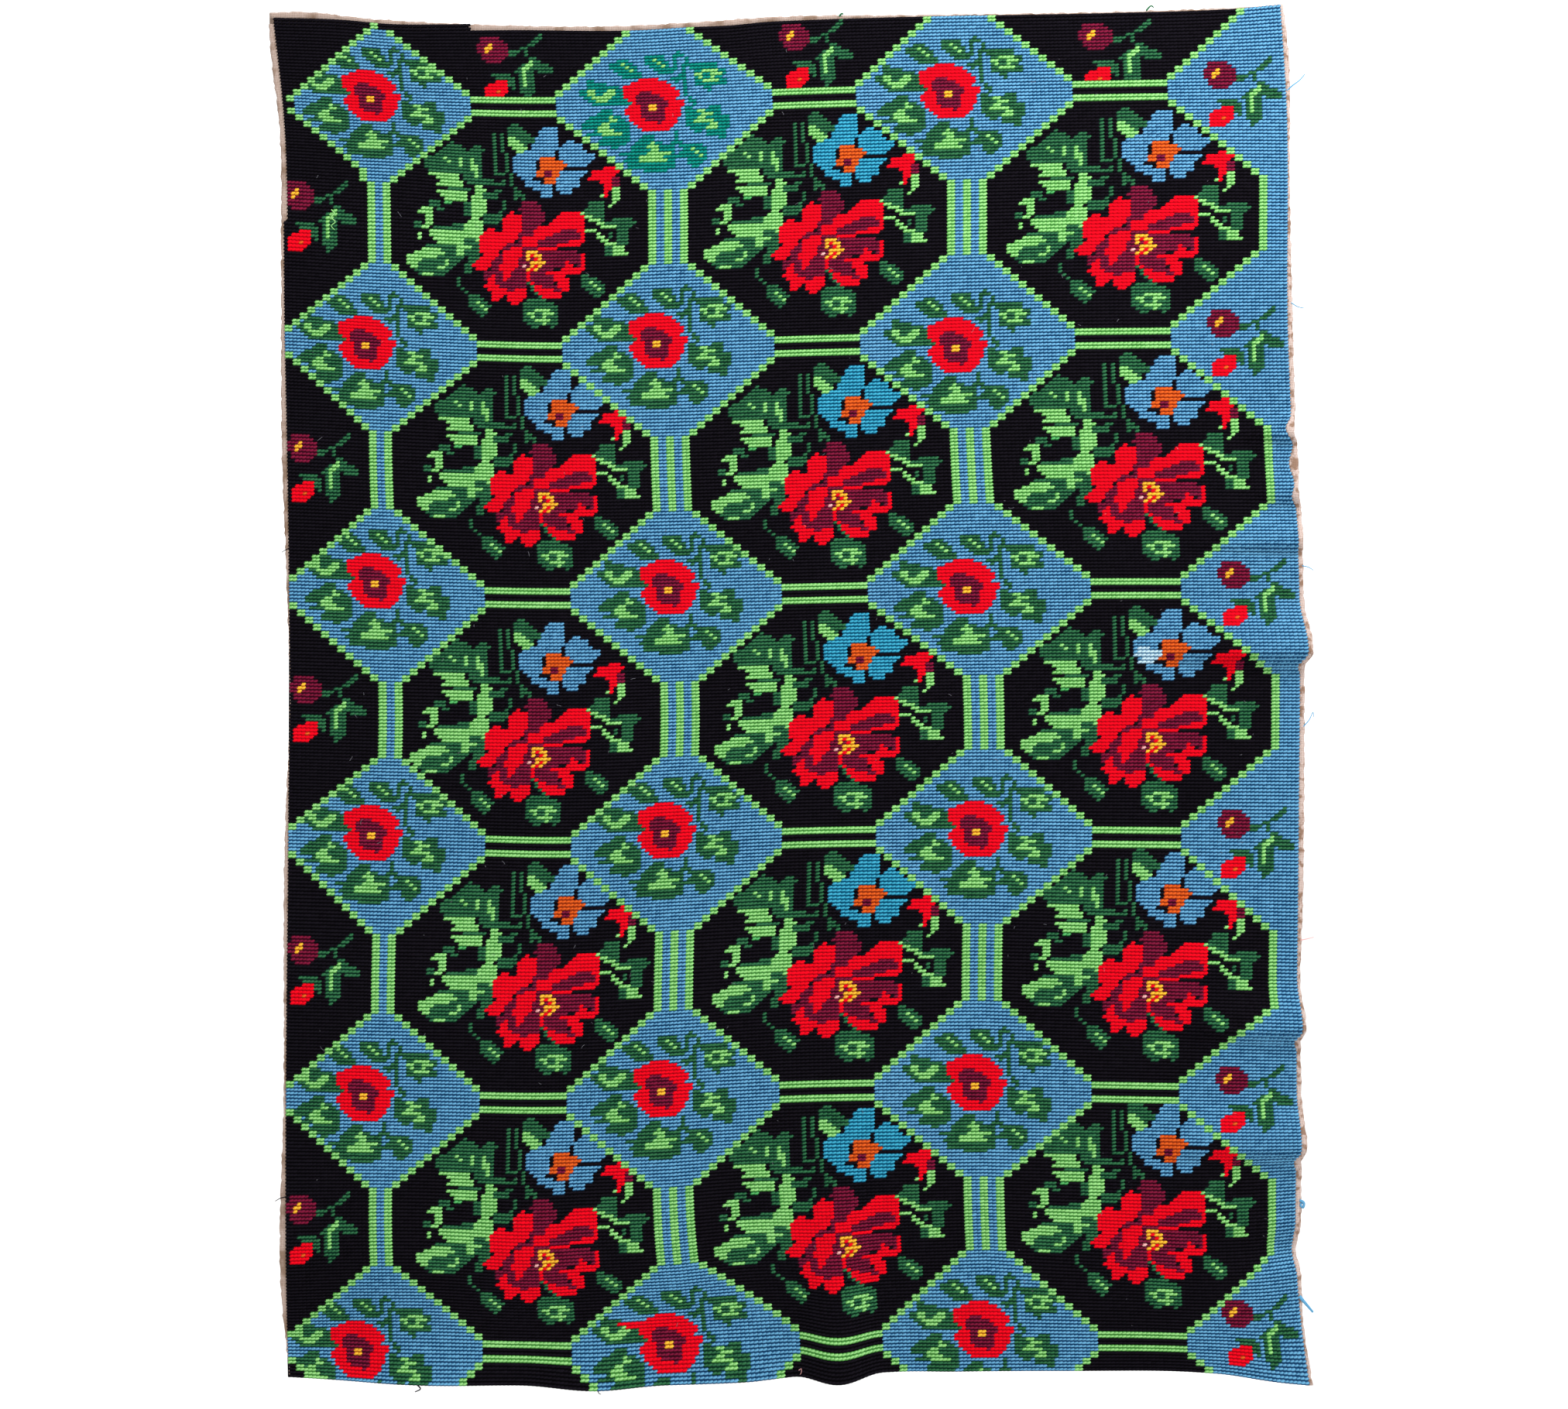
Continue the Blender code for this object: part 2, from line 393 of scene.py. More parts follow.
        nearness = np.clip(1.0 - (across[:, -1:] - across) / self.curl_reach, 0.0, 1.0)
        across = across - self.curl(down[:, -1])[:, None] * nearness ** self.curl_taper
        across = np.concatenate((across[0] + above * (across[1] - across[0]), across))
        down = np.concatenate((down[0] + above * (down[1] - down[0]), down))
        return across, down


@dataclass(frozen=True)
class Motif:
    """A figure drawn in whole stitches from its centre: first its outlined patches, then its blocks."""

    blocks: tuple[tuple[Yarn, Blocks], ...]  # yarn, then blocks of across, down, width, height
    patches: tuple[tuple[Yarn, Points], ...] = ()  # yarn, corners (across, down)


DIAMOND_ROSE = Motif(
    blocks=(
        # The open flower.
        (Yarn.RED, ((-3, -9, 5, 1), (-5, -8, 9, 1), (-7, -7, 12, 1), (-7, -6, 13, 1), (-7, -5, 14, 2),
                    (-6, -3, 12, 1), (-5, -2, 13, 1), (-6, -1, 14, 1), (-7, 0, 14, 2), (-6, 2, 13, 1),
                    (-6, 3, 12, 1), (-5, 4, 11, 1), (-4, 5, 9, 1), (-3, 6, 7, 1))),
        (Yarn.MAROON, ((-3, -5, 3, 1), (-4, -4, 6, 1), (-4, -3, 7, 1), (-4, -2, 8, 1), (-3, -1, 7, 1),
                       (-3, 0, 6, 3), (-2, 3, 5, 1), (1, 4, 1, 1))),
        (Yarn.YELLOW, ((-1, -1, 2, 2),)),
        # The two small leaves over the flower.
        (Yarn.DARK_GREEN, ((-8, -15, 3, 1), (-10, -14, 6, 1), (-10, -13, 7, 1), (-9, -12, 6, 1),
                           (-8, -11, 6, 1), (-7, -10, 5, 1), (-1, -16, 5, 2), (-1, -14, 6, 1),
                           (0, -13, 5, 1), (1, -12, 5, 1), (2, -11, 4, 1))),
        (Yarn.LIME, ((-7, -14, 1, 1), (-6, -13, 1, 1), (-5, -12, 1, 1), (1, -15, 1, 1), (2, -14, 1, 1),
                     (3, -13, 1, 1))),
        # The looped stalk.
        (Yarn.DARK_GREEN, ((7, -17, 1, 1), (6, -16, 3, 1), (6, -15, 1, 4), (9, -15, 1, 2), (8, -13, 2, 1),
                           (8, -12, 1, 9), (7, -10, 1, 1), (5, -9, 3, 1), (6, -8, 1, 1), (9, -3, 1, 2),
                           (10, -2, 1, 2))),
        # The upper right leaf with a ring.
        (Yarn.DARK_GREEN, ((10, -13, 7, 2), (11, -11, 8, 2), (11, -9, 7, 1), (11, -8, 8, 2), (13, -6, 2, 1),
                           (14, -5, 1, 1))),
        (Yarn.LIME, ((13, -11, 4, 1), (11, -10, 2, 1), (15, -10, 3, 1), (12, -9, 1, 1), (15, -9, 1, 1),
                     (13, -8, 4, 1))),
        # The upper left leaf.
        (Yarn.DARK_GREEN, ((-16, -9, 2, 1), (-16, -8, 3, 1), (-13, -8, 2, 1), (-16, -7, 8, 1),
                           (-18, -6, 11, 2), (-17, -4, 10, 1), (-16, -3, 10, 1), (-15, -2, 10, 1))),
        (Yarn.LIME, ((-16, -6, 2, 2), (-11, -6, 2, 1), (-12, -5, 3, 1), (-15, -4, 5, 1), (-14, -3, 3, 1))),
        # The lower left leaf.
        (Yarn.DARK_GREEN, ((-13, 0, 3, 1), (-14, 1, 4, 1), (-16, 2, 8, 1), (-17, 3, 10, 1), (-18, 4, 12, 2),
                           (-15, 6, 9, 1), (-17, 7, 11, 1), (-13, 8, 7, 1), (-14, 9, 8, 1), (-14, 10, 7, 1),
                           (-11, 11, 2, 1))),
        (Yarn.LIME, ((-11, 2, 1, 1), (-11, 3, 2, 1), (-13, 4, 2, 1), (-14, 5, 3, 1), (-14, 6, 4, 1),
                     (-13, 7, 5, 1))),
        # The leaf under the flower.
        (Yarn.DARK_GREEN, ((-3, 8, 3, 1), (-4, 9, 4, 1), (-5, 10, 7, 1), (-6, 11, 11, 2), (-9, 13, 14, 1),
                           (-7, 14, 13, 1), (-8, 15, 13, 1), (-7, 16, 12, 2), (-3, 18, 6, 1))),
        (Yarn.LIME, ((-1, 10, 1, 1), (-2, 11, 3, 1), (-1, 12, 2, 1), (-2, 13, 6, 1), (-4, 14, 6, 1),
                     (-4, 15, 7, 1))),
        # The small leaf at the lower right, on its stalk.
        (Yarn.DARK_GREEN, ((5, 7, 1, 3), (4, 10, 3, 1), (6, 11, 6, 1), (7, 12, 6, 1), (6, 13, 7, 2),
                           (8, 15, 5, 1), (8, 16, 4, 1), (9, 17, 2, 1))),
        (Yarn.LIME, ((9, 12, 1, 1), (10, 13, 1, 1), (11, 14, 1, 1))),
        # The right leaf.
        (Yarn.DARK_GREEN, ((8, 0, 2, 1), (14, 0, 3, 1), (8, 1, 9, 2), (8, 3, 11, 3), (9, 6, 10, 1),
                           (10, 7, 2, 1), (13, 7, 5, 2), (16, 9, 2, 1))),
        (Yarn.LIME, ((11, 1, 2, 1), (12, 2, 3, 1), (11, 3, 2, 1), (10, 4, 5, 1), (14, 5, 2, 1),
                     (13, 6, 3, 1))),
    ),
)

SPRIG = Motif(
    patches=(
        (Yarn.MAROON, ((-2, -4), (1, -4), (3, -3), (4, -2), (4, 1), (3, 3), (1, 4), (-1, 4), (-3, 2),
                       (-4, 0), (-4, -1), (-3, -3))),
        (Yarn.DARK_GREEN, ((6, 5), (8, 4), (10, 4), (10, 13), (9, 14), (8, 15), (7, 15), (7, 13), (6, 13))),
        (Yarn.DARK_GREEN, ((9, 2), (11, 2), (13, 4), (15, 5), (15, 7), (12, 7), (11, 6), (10, 5), (9, 4))),
        (Yarn.RED, ((1, 9), (3, 9), (3, 13), (2, 14), (1, 15), (-2, 15), (-3, 14), (-3, 12), (-2, 11),
                    (-1, 10))),
    ),
    blocks=(
        (Yarn.YELLOW, ((-1, -2, 1, 2), (-2, -1, 1, 2))),
        (Yarn.DARK_GREEN, ((4, 0, 3, 1), (4, 1, 2, 1), (7, -1, 2, 1), (9, -2, 2, 1), (10, -3, 2, 1),
                           (11, -4, 2, 1), (12, -5, 1, 1), (8, 0, 1, 2))),
        (Yarn.LIME, ((9, 3, 1, 1), (8, 4, 2, 1), (7, 5, 2, 1), (7, 6, 1, 5))),
        (Yarn.DARK_GREEN, ((5, 6, 1, 1), (-1, 7, 5, 1), (0, 8, 5, 1), (3, 9, 2, 2), (4, 11, 1, 1))),
        (Yarn.ORANGE, ((0, 12, 1, 1),)),
    ),
)

BOUQUET_STEMS = Motif(
    patches=(
        (Yarn.DARK_GREEN, ((-24, -18), (-22, -20), (-20, -21), (-19, -23), (-17, -24), (-16, -25),
                           (-15, -24), (-13, -23), (-12, -22), (-11, -24), (-10, -24), (-8, -23),
                           (-9, -21), (-9, -14), (-6, -14), (-6, -12), (-13, -12), (-14, -15),
                           (-23, -15), (-24, -17))),
        (Yarn.DARK_GREEN, ((-2, -30), (1, -31), (3, -29), (5, -27), (6, -26), (4, -25), (2, -24), (-1, -26),
                           (-2, -27))),
        (Yarn.DARK_GREEN, ((-23, 5), (-16, 5), (-14, 6), (-14, 8), (-16, 11), (-18, 13), (-19, 14),
                           (-25, 14), (-27, 13), (-28, 11), (-27, 9))),
        (Yarn.DARK_GREEN, ((-13, 19), (-10, 19), (-8, 21), (-7, 23), (-8, 24), (-9, 26), (-11, 25),
                           (-13, 22))),
        (Yarn.DARK_GREEN, ((1, 21), (4, 20), (9, 21), (10, 23), (10, 28), (9, 29), (8, 28), (5, 28), (5, 29),
                           (3, 29), (3, 28), (1, 27))),
        (Yarn.DARK_GREEN, ((17, 13), (19, 14), (21, 15), (22, 17), (22, 19), (20, 20), (18, 19), (17, 17),
                           (16, 16), (16, 14))),
    ),
    blocks=(
        (Yarn.LIME, ((-23, -15, 8, 1), (-21, -14, 6, 1), (-20, -13, 6, 1), (-21, -12, 7, 1))),
        (Yarn.DARK_GREEN, ((-18, -11, 6, 1),)),
        (Yarn.LIME, ((-21, -10, 8, 1), (-20, -9, 7, 1), (-19, -8, 6, 1))),
        (Yarn.GREEN, ((-19, -7, 2, 1),)),
        (Yarn.LIME, ((-19, -20, 1, 1), (-18, -19, 1, 1), (-15, -20, 1, 3), (-12, -20, 1, 2),
                     (-12, -18, 2, 2), (-11, -16, 1, 2))),
        (Yarn.DARK_GREEN, ((-14, -7, 2, 4),)),
        (Yarn.LIME, ((-11, -12, 2, 1), (-11, -11, 3, 2), (-12, -9, 4, 6), (-12, -3, 2, 1))),
        (Yarn.DARK_GREEN, ((-6, -28, 1, 13), (-4, -28, 1, 6), (-3, -22, 1, 6), (-2, -16, 1, 4),
                           (-1, -12, 1, 4), (0, -11, 1, 2), (1, -10, 1, 2), (-5, -16, 2, 1),
                           (-7, -13, 4, 1), (-4, -14, 1, 1), (-9, -10, 4, 2), (-6, -11, 2, 1),
                           (-4, -8, 1, 3), (-5, -5, 1, 2), (-9, -4, 5, 2), (-9, -2, 4, 1), (-23, -7, 3, 2),
                           (-21, -5, 2, 1))),
        (Yarn.LIME, ((-25, -5, 3, 1), (-26, -4, 4, 1), (-24, -3, 2, 3), (-25, 0, 2, 1), (-26, 2, 1, 2))),
        (Yarn.DARK_GREEN, ((-27, -1, 2, 2), (-17, -1, 3, 1), (-22, 0, 9, 1), (-15, 2, 5, 6))),
        (Yarn.LIME, ((-23, 1, 10, 1), (-23, 2, 11, 1), (-22, 3, 8, 1), (-21, 4, 7, 1), (-16, 5, 4, 1),
                     (-16, 6, 2, 2), (-13, -2, 4, 1), (-14, -1, 5, 3), (-12, 2, 3, 1), (-11, 3, 1, 1),
                     (-25, 6, 5, 1), (-27, 7, 8, 1), (-29, 8, 8, 1), (-29, 9, 4, 1), (-29, 10, 3, 1),
                     (-28, 11, 2, 1), (-25, 13, 3, 1), (-19, 9, 1, 2), (-21, 11, 2, 1))),
        (Yarn.DARK_GREEN, ((-13, 6, 3, 4), (-14, 10, 2, 3), (-16, 14, 1, 3), (-15, 17, 1, 1),
                           (-14, 18, 1, 1))),
        (Yarn.LIME, ((-11, 21, 1, 1), (-10, 22, 1, 1), (-9, 23, 1, 1), (-2, -27, 2, 1), (-2, -26, 3, 1),
                     (-2, -25, 4, 1), (-1, -24, 4, 1), (0, -23, 4, 1), (23, -12, 3, 1), (24, -11, 2, 2),
                     (24, -9, 2, 1), (24, -8, 1, 1), (23, -7, 1, 1), (21, -10, 1, 1))),
        (Yarn.DARK_GREEN, ((18, -8, 4, 2), (17, -6, 5, 3), (19, -3, 3, 1))),
        (Yarn.LIME, ((16, -5, 1, 1), (17, -4, 2, 1), (18, -3, 3, 1), (20, -2, 2, 1), (16, 0, 4, 1),
                     (20, 1, 1, 2), (21, 2, 1, 1), (21, 3, 2, 1), (22, 4, 3, 1))),
        (Yarn.DARK_GREEN, ((24, -3, 5, 1), (22, -2, 8, 1), (24, -1, 5, 1))),
        (Yarn.LIME, ((21, -1, 4, 1),)),
        (Yarn.DARK_GREEN, ((25, 0, 3, 5), (23, 1, 1, 2), (22, 5, 2, 3))),
        (Yarn.LIME, ((24, 5, 3, 2), (24, 7, 4, 1), (18, 15, 1, 1), (19, 16, 1, 1), (20, 17, 1, 1),
                     (4, 23, 4, 1), (2, 24, 2, 1), (6, 24, 3, 1), (3, 25, 1, 1), (6, 25, 1, 1),
                     (4, 26, 4, 1), (6, 27, 1, 1))),
    ),
)

BOUQUET_FLOWERS = Motif(
    patches=(
        (Yarn.BLUE, ((7, -30), (11, -30), (11, -23), (10, -21), (7, -21), (5, -20), (5, -15), (3, -14),
                      (9, -13), (9, -9), (6, -9), (6, -11), (2, -12), (2, -14), (0, -15), (-1, -17),
                      (-1, -21), (1, -22), (4, -23), (5, -26), (6, -28))),
        (Yarn.BLUE, ((14, -26), (15, -26), (16, -25), (18, -24), (17, -23), (20, -22), (20, -20), (18, -19),
                      (18, -18), (13, -18), (13, -19), (11, -20), (11, -23), (12, -24), (13, -25))),
        (Yarn.BLUE, ((12, -17), (18, -17), (17, -15), (16, -14), (16, -12), (14, -12), (14, -10), (11, -10),
                      (10, -12), (10, -14), (11, -16))),
        (Yarn.ORANGE, ((7, -21), (10, -21), (11, -20), (13, -19), (12, -17), (11, -16), (11, -15), (10, -15),
                       (10, -13), (7, -13), (7, -15), (5, -15), (5, -16), (6, -17), (6, -20))),
        (Yarn.RED, ((22, -17), (23, -18), (25, -18), (26, -17), (25, -15), (24, -15), (24, -12), (23, -9),
                    (22, -9), (22, -13), (21, -14), (18, -14), (19, -16), (20, -17))),
        (Yarn.RED, ((11, -5), (16, -5), (17, -4), (17, 4), (16, 5), (1, 5), (1, 2), (4, 2), (4, 0), (6, -1),
                    (8, -1), (9, -2), (10, -4), (11, -4))),
        (Yarn.MAROON, ((12, 0), (15, 0), (16, 1), (16, 3), (11, 4), (10, 5), (5, 5), (5, 4), (6, 3), (9, 2),
                       (9, 1), (11, 1))),
        (Yarn.MAROON, ((1, -6), (1, -8), (5, -8), (6, -6), (7, -5), (7, -2), (5, 0), (4, 0), (4, 2), (1, 2),
                       (1, 4), (0, 4), (0, 1), (1, 0), (1, -4), (0, -6))),
        (Yarn.RED, ((-2, -5), (-1, -5), (0, -4), (1, -4), (1, 1), (0, 1), (0, 3), (-2, 4), (-3, 5), (-4, 6),
                    (-5, 7), (-6, 9), (-7, 10), (-7, 11), (-9, 12), (-11, 12), (-11, 11), (-12, 11),
                    (-11, 9), (-9, 8), (-9, 7), (-10, 6), (-10, 3), (-9, 1), (-7, 0), (-4, 1), (-4, -3),
                    (-2, -4))),
        (Yarn.MAROON, ((-2, 4), (1, 4), (1, 9), (0, 12), (2, 12), (2, 17), (0, 17), (-1, 18), (-4, 18),
                       (-5, 16), (-6, 15), (-9, 15), (-9, 12), (-7, 12), (-7, 10), (-6, 9), (-5, 8), (-4, 6),
                       (-3, 5))),
        (Yarn.RED, ((-1, 5), (1, 5), (1, 8), (0, 9), (0, 11), (-2, 12), (-2, 14), (-3, 15), (-4, 15),
                    (-4, 13), (-5, 11), (-4, 9), (-4, 7), (-3, 6))),
        (Yarn.RED, ((-6, 12), (-6, 15), (-5, 16), (-4, 17), (-1, 18), (0, 17), (2, 17), (2, 20), (1, 21),
                    (0, 22), (-2, 22), (-2, 21), (-3, 20), (-3, 19), (-4, 20), (-5, 20), (-5, 21), (-7, 21),
                    (-7, 18), (-9, 17), (-9, 16), (-8, 16), (-8, 15), (-7, 14))),
        (Yarn.MAROON, ((1, 5), (15, 6), (16, 7), (16, 11), (14, 10), (13, 9), (12, 10), (12, 11), (7, 12),
                       (7, 13), (9, 13), (9, 16), (11, 17), (12, 18), (9, 18), (6, 17), (4, 15), (3, 14),
                       (2, 12), (0, 12), (0, 10), (1, 9))),
        (Yarn.RED, ((16, 7), (17, 7), (17, 12), (16, 13), (12, 13), (12, 14), (13, 14), (13, 18), (12, 19),
                    (11, 17), (10, 16), (9, 13), (7, 13), (7, 12), (11, 12), (12, 10), (13, 9), (14, 10),
                    (14, 11), (16, 11))),
        (Yarn.RED, ((2, 12), (3, 12), (3, 14), (4, 15), (4, 16), (6, 16), (6, 17), (9, 17), (9, 18),
                    (11, 18), (11, 20), (6, 20), (6, 19), (4, 18), (3, 16), (2, 15))),
    ),
    blocks=(
        (Yarn.MAROON, ((7, -17, 2, 2),)),
        (Yarn.BLACK, ((10, -23, 1, 2), (12, -18, 8, 1), (9, -13, 1, 3))),
        (Yarn.MAROON, ((24, -15, 2, 3),)),
        (Yarn.RED, ((5, 5, 5, 1),)),
        (Yarn.BLACK, ((10, 5, 6, 1),)),
        (Yarn.YELLOW, ((2, 6, 3, 1), (2, 7, 1, 2), (4, 7, 2, 1), (5, 8, 1, 1), (3, 9, 4, 1), (3, 10, 1, 1),
                       (5, 10, 1, 1), (2, 11, 1, 1), (4, 11, 1, 1))),
        (Yarn.PINK, ((1, 10, 1, 1),)),
        (Yarn.RED, ((3, 7, 1, 1),)),
        (Yarn.MAROON, ((3, 8, 1, 1),)),
        (Yarn.RED, ((4, 8, 1, 1), (4, 10, 1, 1), (3, 11, 1, 1))),
        (Yarn.DARK_GREEN, ((2, 15, 1, 1), (3, 16, 1, 2), (4, 18, 1, 1), (5, 19, 1, 1), (6, 20, 1, 1))),
    ),
)


@dataclass
class Chart:
    """The counted chart: one yarn for each stitch, from rows_above above row 0."""

    lattice: StitchLattice
    row_period: int = 72
    upper_bar: int = 20
    bar_rows: tuple[Yarn, ...] = (Yarn.LIME, Yarn.LIME, Yarn.BLACK, Yarn.BLACK, Yarn.LIME, Yarn.LIME)
    step: int = 2
    steps: int = 11
    diamonds: tuple[tuple[int, int], ...] = ((0, 50), (72, 126), (148, 202), (224, 278))  # from, to column
    bands: int = 6
    octagon_columns: tuple[int, ...] = (61, 137, 213)
    first_octagon_row: int = 59
    first_rose_row: int = 22
    rose_columns: tuple[int, ...] = (21, 96, 172)
    rose_shifts: tuple[Points, ...] = (  # columns and rows, by band and rose
        ((3, 0), (0, 2), (-1, 1)),
        ((0, 1), (0, -1), (0, 3)),
        ((1, -2), (1, -1), (0, 1)),
        ((0, -1), (0, -2), (1, 0)),
        ((-1, 0), (0, -1), (1, 0)),
        ((-3, 2), (-1, 0), (1, -1)),
    )
    bouquet_shifts: tuple[Points, ...] = (  # columns and rows, by band and bouquet
        ((0, 0), (0, -1), (1, 0)),
        ((2, -1), (1, 0), (1, -1)),
        ((-2, 1), (0, 0), (0, 0)),
        ((2, -1), (1, -1), (1, -2)),
        ((2, -1), (0, -1), (0, -3)),
    )
    # Columns and rows of the small flowers at the top, at the left and at the right.
    top_sprigs: Points = ((57, 6), (133, 5), (208, 7))
    side_sprigs: Points = ((4, 53), (4, 126), (4, 195), (4, 269), (4, 342))
    edge_sprigs: Points = ((237, 19), (237, 91), (237, 163), (237, 235), (237, 307), (237, 374))
    teal_rose: tuple[int, int] = (0, 1)  # band, number in the band
    turquoise_bouquets: int = 1  # number in each band
    odd_stitches: Motif = Motif(blocks=(
        (Yarn.RED, ((83, 375, 6, 1), (85, 376, 5, 1))),
        (Yarn.PALE_BLUE, ((213, 184, 3, 1), (213, 185, 6, 1), (212, 186, 7, 1), (214, 187, 4, 1),
                          (213, 188, 4, 1))),
    ))
    # The left half of the first diamond: its first column, the column after it, its steps up and down.
    late_column: int = 4
    late_end: int = 26
    late_steps: tuple[int, int] = (12, 9)
    # The first row with a stitch in column 0, and the last column with stitches above row 0.
    first_full_row: int = 60
    short_top: int = 51

    def __post_init__(self) -> None:
        """Start from a plain black ground."""
        shape = (self.lattice.rows + self.lattice.rows_above, self.lattice.columns)
        self.grid = np.full(shape, int(Yarn.BLACK), dtype=np.int8)

    def fill(self, yarn: Yarn, column: int, row: int, width: int, height: int) -> None:
        """Fill a block of stitches, cut at the panel's edges.

        Args:
            yarn: the yarn.
            column: the first column.
            row: the first row.
            width: number of columns.
            height: number of rows.
        """
        top = row + self.lattice.rows_above
        self.grid[max(top, 0):max(top + height, 0), max(column, 0):max(column + width, 0)] = yarn

    def fill_outline(self, yarn: Yarn, outline: Points, column: int, row: int) -> None:
        """Fill the stitches whose middles lie inside an outline: an odd number of crossings to the right.

        Args:
            yarn: the yarn.
            outline: the corners, from the motif's centre.
            column: the centre's column.
            row: the centre's row.
        """
        corners = np.array(outline, dtype=float)
        low = corners.min(axis=0).astype(int)
        high = corners.max(axis=0).astype(int)
        across, down = np.meshgrid(np.arange(low[0], high[0]) + 0.5, np.arange(low[1], high[1]) + 0.5)
        start, end = corners, np.roll(corners, -1, axis=0)
        rise = end[:, 1] - start[:, 1]
        straddles = (start[:, 1] > down[..., None]) != (end[:, 1] > down[..., None])
        safe = np.where(rise == 0.0, 1.0, rise)
        meets = start[:, 0] + (down[..., None] - start[:, 1]) * (end[:, 0] - start[:, 0]) / safe
        inside = (straddles & (across[..., None] < meets)).sum(axis=-1) % 2 == 1
        rows = (down[inside] + row + self.lattice.rows_above).astype(int)
        columns = (across[inside] + column).astype(int)
        kept = (rows >= 0) & (rows < self.grid.shape[0]) & (across[inside] + column >= 0)
        kept &= columns < self.grid.shape[1]
        self.grid[rows[kept], columns[kept]] = yarn

    def draw(self, motif: Motif, column: int, row: int, swaps: dict[Yarn, Yarn] | None = None) -> None:
        """Draw a motif about its centre.

        Args:
            motif: the figure.
            column: the centre's column.
            row: the centre's row.
            swaps: yarns that take the place of others here.
        """
        taken = swaps or {}
        for yarn, outline in motif.patches:
            self.fill_outline(taken.get(yarn, yarn), outline, column, row)
        for yarn, blocks in motif.blocks:
            for across, down, width, height in blocks:
                self.fill(taken.get(yarn, yarn), column + across, row + down, width, height)

    def diamond(self, start: int, end: int, upper_bar: int) -> None:
        """Draw a blue diamond with a stepped lime edge, and the striped connector under it.

        Args:
            start: its first column.
            end: the column after its last one.
            upper_bar: the first row of the bars at its side.
        """
        step = self.step
        bar_height = len(self.bar_rows)
        self.fill(Yarn.BLUE, start, upper_bar, end - start, bar_height)
        for k in range(self.steps):
            inset = step * k
            for row in (upper_bar - step - inset, upper_bar + bar_height + inset):
                self.fill(Yarn.BLUE, start + inset, row, end - start - 2 * inset, step)
                self.fill(Yarn.LIME, start + inset, row, step, step)
                self.fill(Yarn.LIME, end - inset - step, row, step, step)
        first = upper_bar + bar_height + step * self.steps
        rows = self.row_period - 2 * step * self.steps - bar_height
        left = start + step * self.steps
        right = end - step * self.steps
        self.fill(Yarn.BLUE, left, first, right - left, rows)
        for column in range(left, right, 2 * step):
            self.fill(Yarn.LIME, column, first, step, rows)
        if end > self.lattice.columns:
            self.fill(Yarn.BLUE, left + step, first, right - left, rows)

    def first_diamond(self) -> None:
        """Redraw the left half of the top left diamond, which was begun four stitches in and lower."""
        step = self.step
        bar = self.upper_bar
        lower = bar + step + len(self.bar_rows)
        up, low = self.late_steps
        self.fill(Yarn.BLACK, 0, -step, self.late_end, lower + step * low + step)
        width = self.late_end - self.late_column
        self.fill(Yarn.BLUE, self.late_column, bar + step, width, len(self.bar_rows))
        for row in (bar + step, lower - step):
            self.fill(Yarn.LIME, self.late_column - step, row, step, step)
        for rows in ([bar - step * k for k in range(up)], [lower + step * k for k in range(low)]):
            for k, row in enumerate(rows):
                column = self.late_column + step * k
                self.fill(Yarn.BLUE, column, row, max(self.late_end - column, step), step)
                self.fill(Yarn.LIME, column, row, step, step)
        self.fill(Yarn.BLACK, self.late_end + step, -step, step, step)

    def keep_to(self, ground: Yarn, before: np.ndarray) -> None:
        """Put back each stitch that lay outside this ground before the flowers were drawn on it."""
        outside = before != ground
        self.grid[outside] = before[outside]

    def stitch(self) -> np.ndarray:
        """Draw the whole chart: lattice, roses, bouquets on the black alone, sprigs, unstitched corners.

        Returns:
            The grid of yarns.
        """
        for column, row in self.top_sprigs + self.side_sprigs:
            self.draw(SPRIG, column, row)
        for band in range(self.bands):
            bar = self.upper_bar + self.row_period * band
            for (_, start), (end, _) in zip(self.diamonds[:-1], self.diamonds[1:]):
                for line, yarn in enumerate(self.bar_rows):
                    self.fill(yarn, start, bar + line, end - start, 1)
            for start, end in self.diamonds:
                self.diamond(start, end, bar)
        self.first_diamond()
        before = self.grid.copy()
        for band, shifts in enumerate(self.rose_shifts):
            for number, (column, (right, low)) in enumerate(zip(self.rose_columns, shifts)):
                swaps = {Yarn.DARK_GREEN: Yarn.TEAL} if (band, number) == self.teal_rose else None
                row = self.first_rose_row + self.row_period * band
                self.draw(DIAMOND_ROSE, column + right, row + low, swaps)
        self.keep_to(Yarn.BLUE, before)
        before = self.grid.copy()
        for band, shifts in enumerate(self.bouquet_shifts):
            row = self.first_octagon_row + self.row_period * band
            for number, (column, (right, low)) in enumerate(zip(self.octagon_columns, shifts)):
                swaps = {Yarn.BLUE: Yarn.TURQUOISE} if number == self.turquoise_bouquets else None
                for motif in (BOUQUET_STEMS, BOUQUET_FLOWERS):
                    self.draw(motif, column + right, row + low, swaps)
        self.keep_to(Yarn.BLACK, before)
        self.draw(self.odd_stitches, 0, 0)
        for column, row in self.edge_sprigs:
            self.draw(SPRIG, column, row)
        above = self.lattice.rows_above
        self.grid[:above, self.short_top + 1:] = Yarn.BARE
        self.grid[:self.first_full_row + above, 0] = Yarn.BARE
        return self.grid


def linear(colour: Colour) -> tuple[float, float, float, float]:
    """Turn a screen colour into the light values that a shader takes, by the usual sRGB curve.

    Args:
        colour: red, green and blue from 0 to 255.

    Returns:
        Red, green and blue from 0 to 1, and 1 for opaque.
    """
    share = np.array(colour) / 255.0
    light = np.where(share <= 0.04045, share / 12.92, ((share + 0.055) / 1.055) ** 2.4)
    return (*light.tolist(), 1.0)


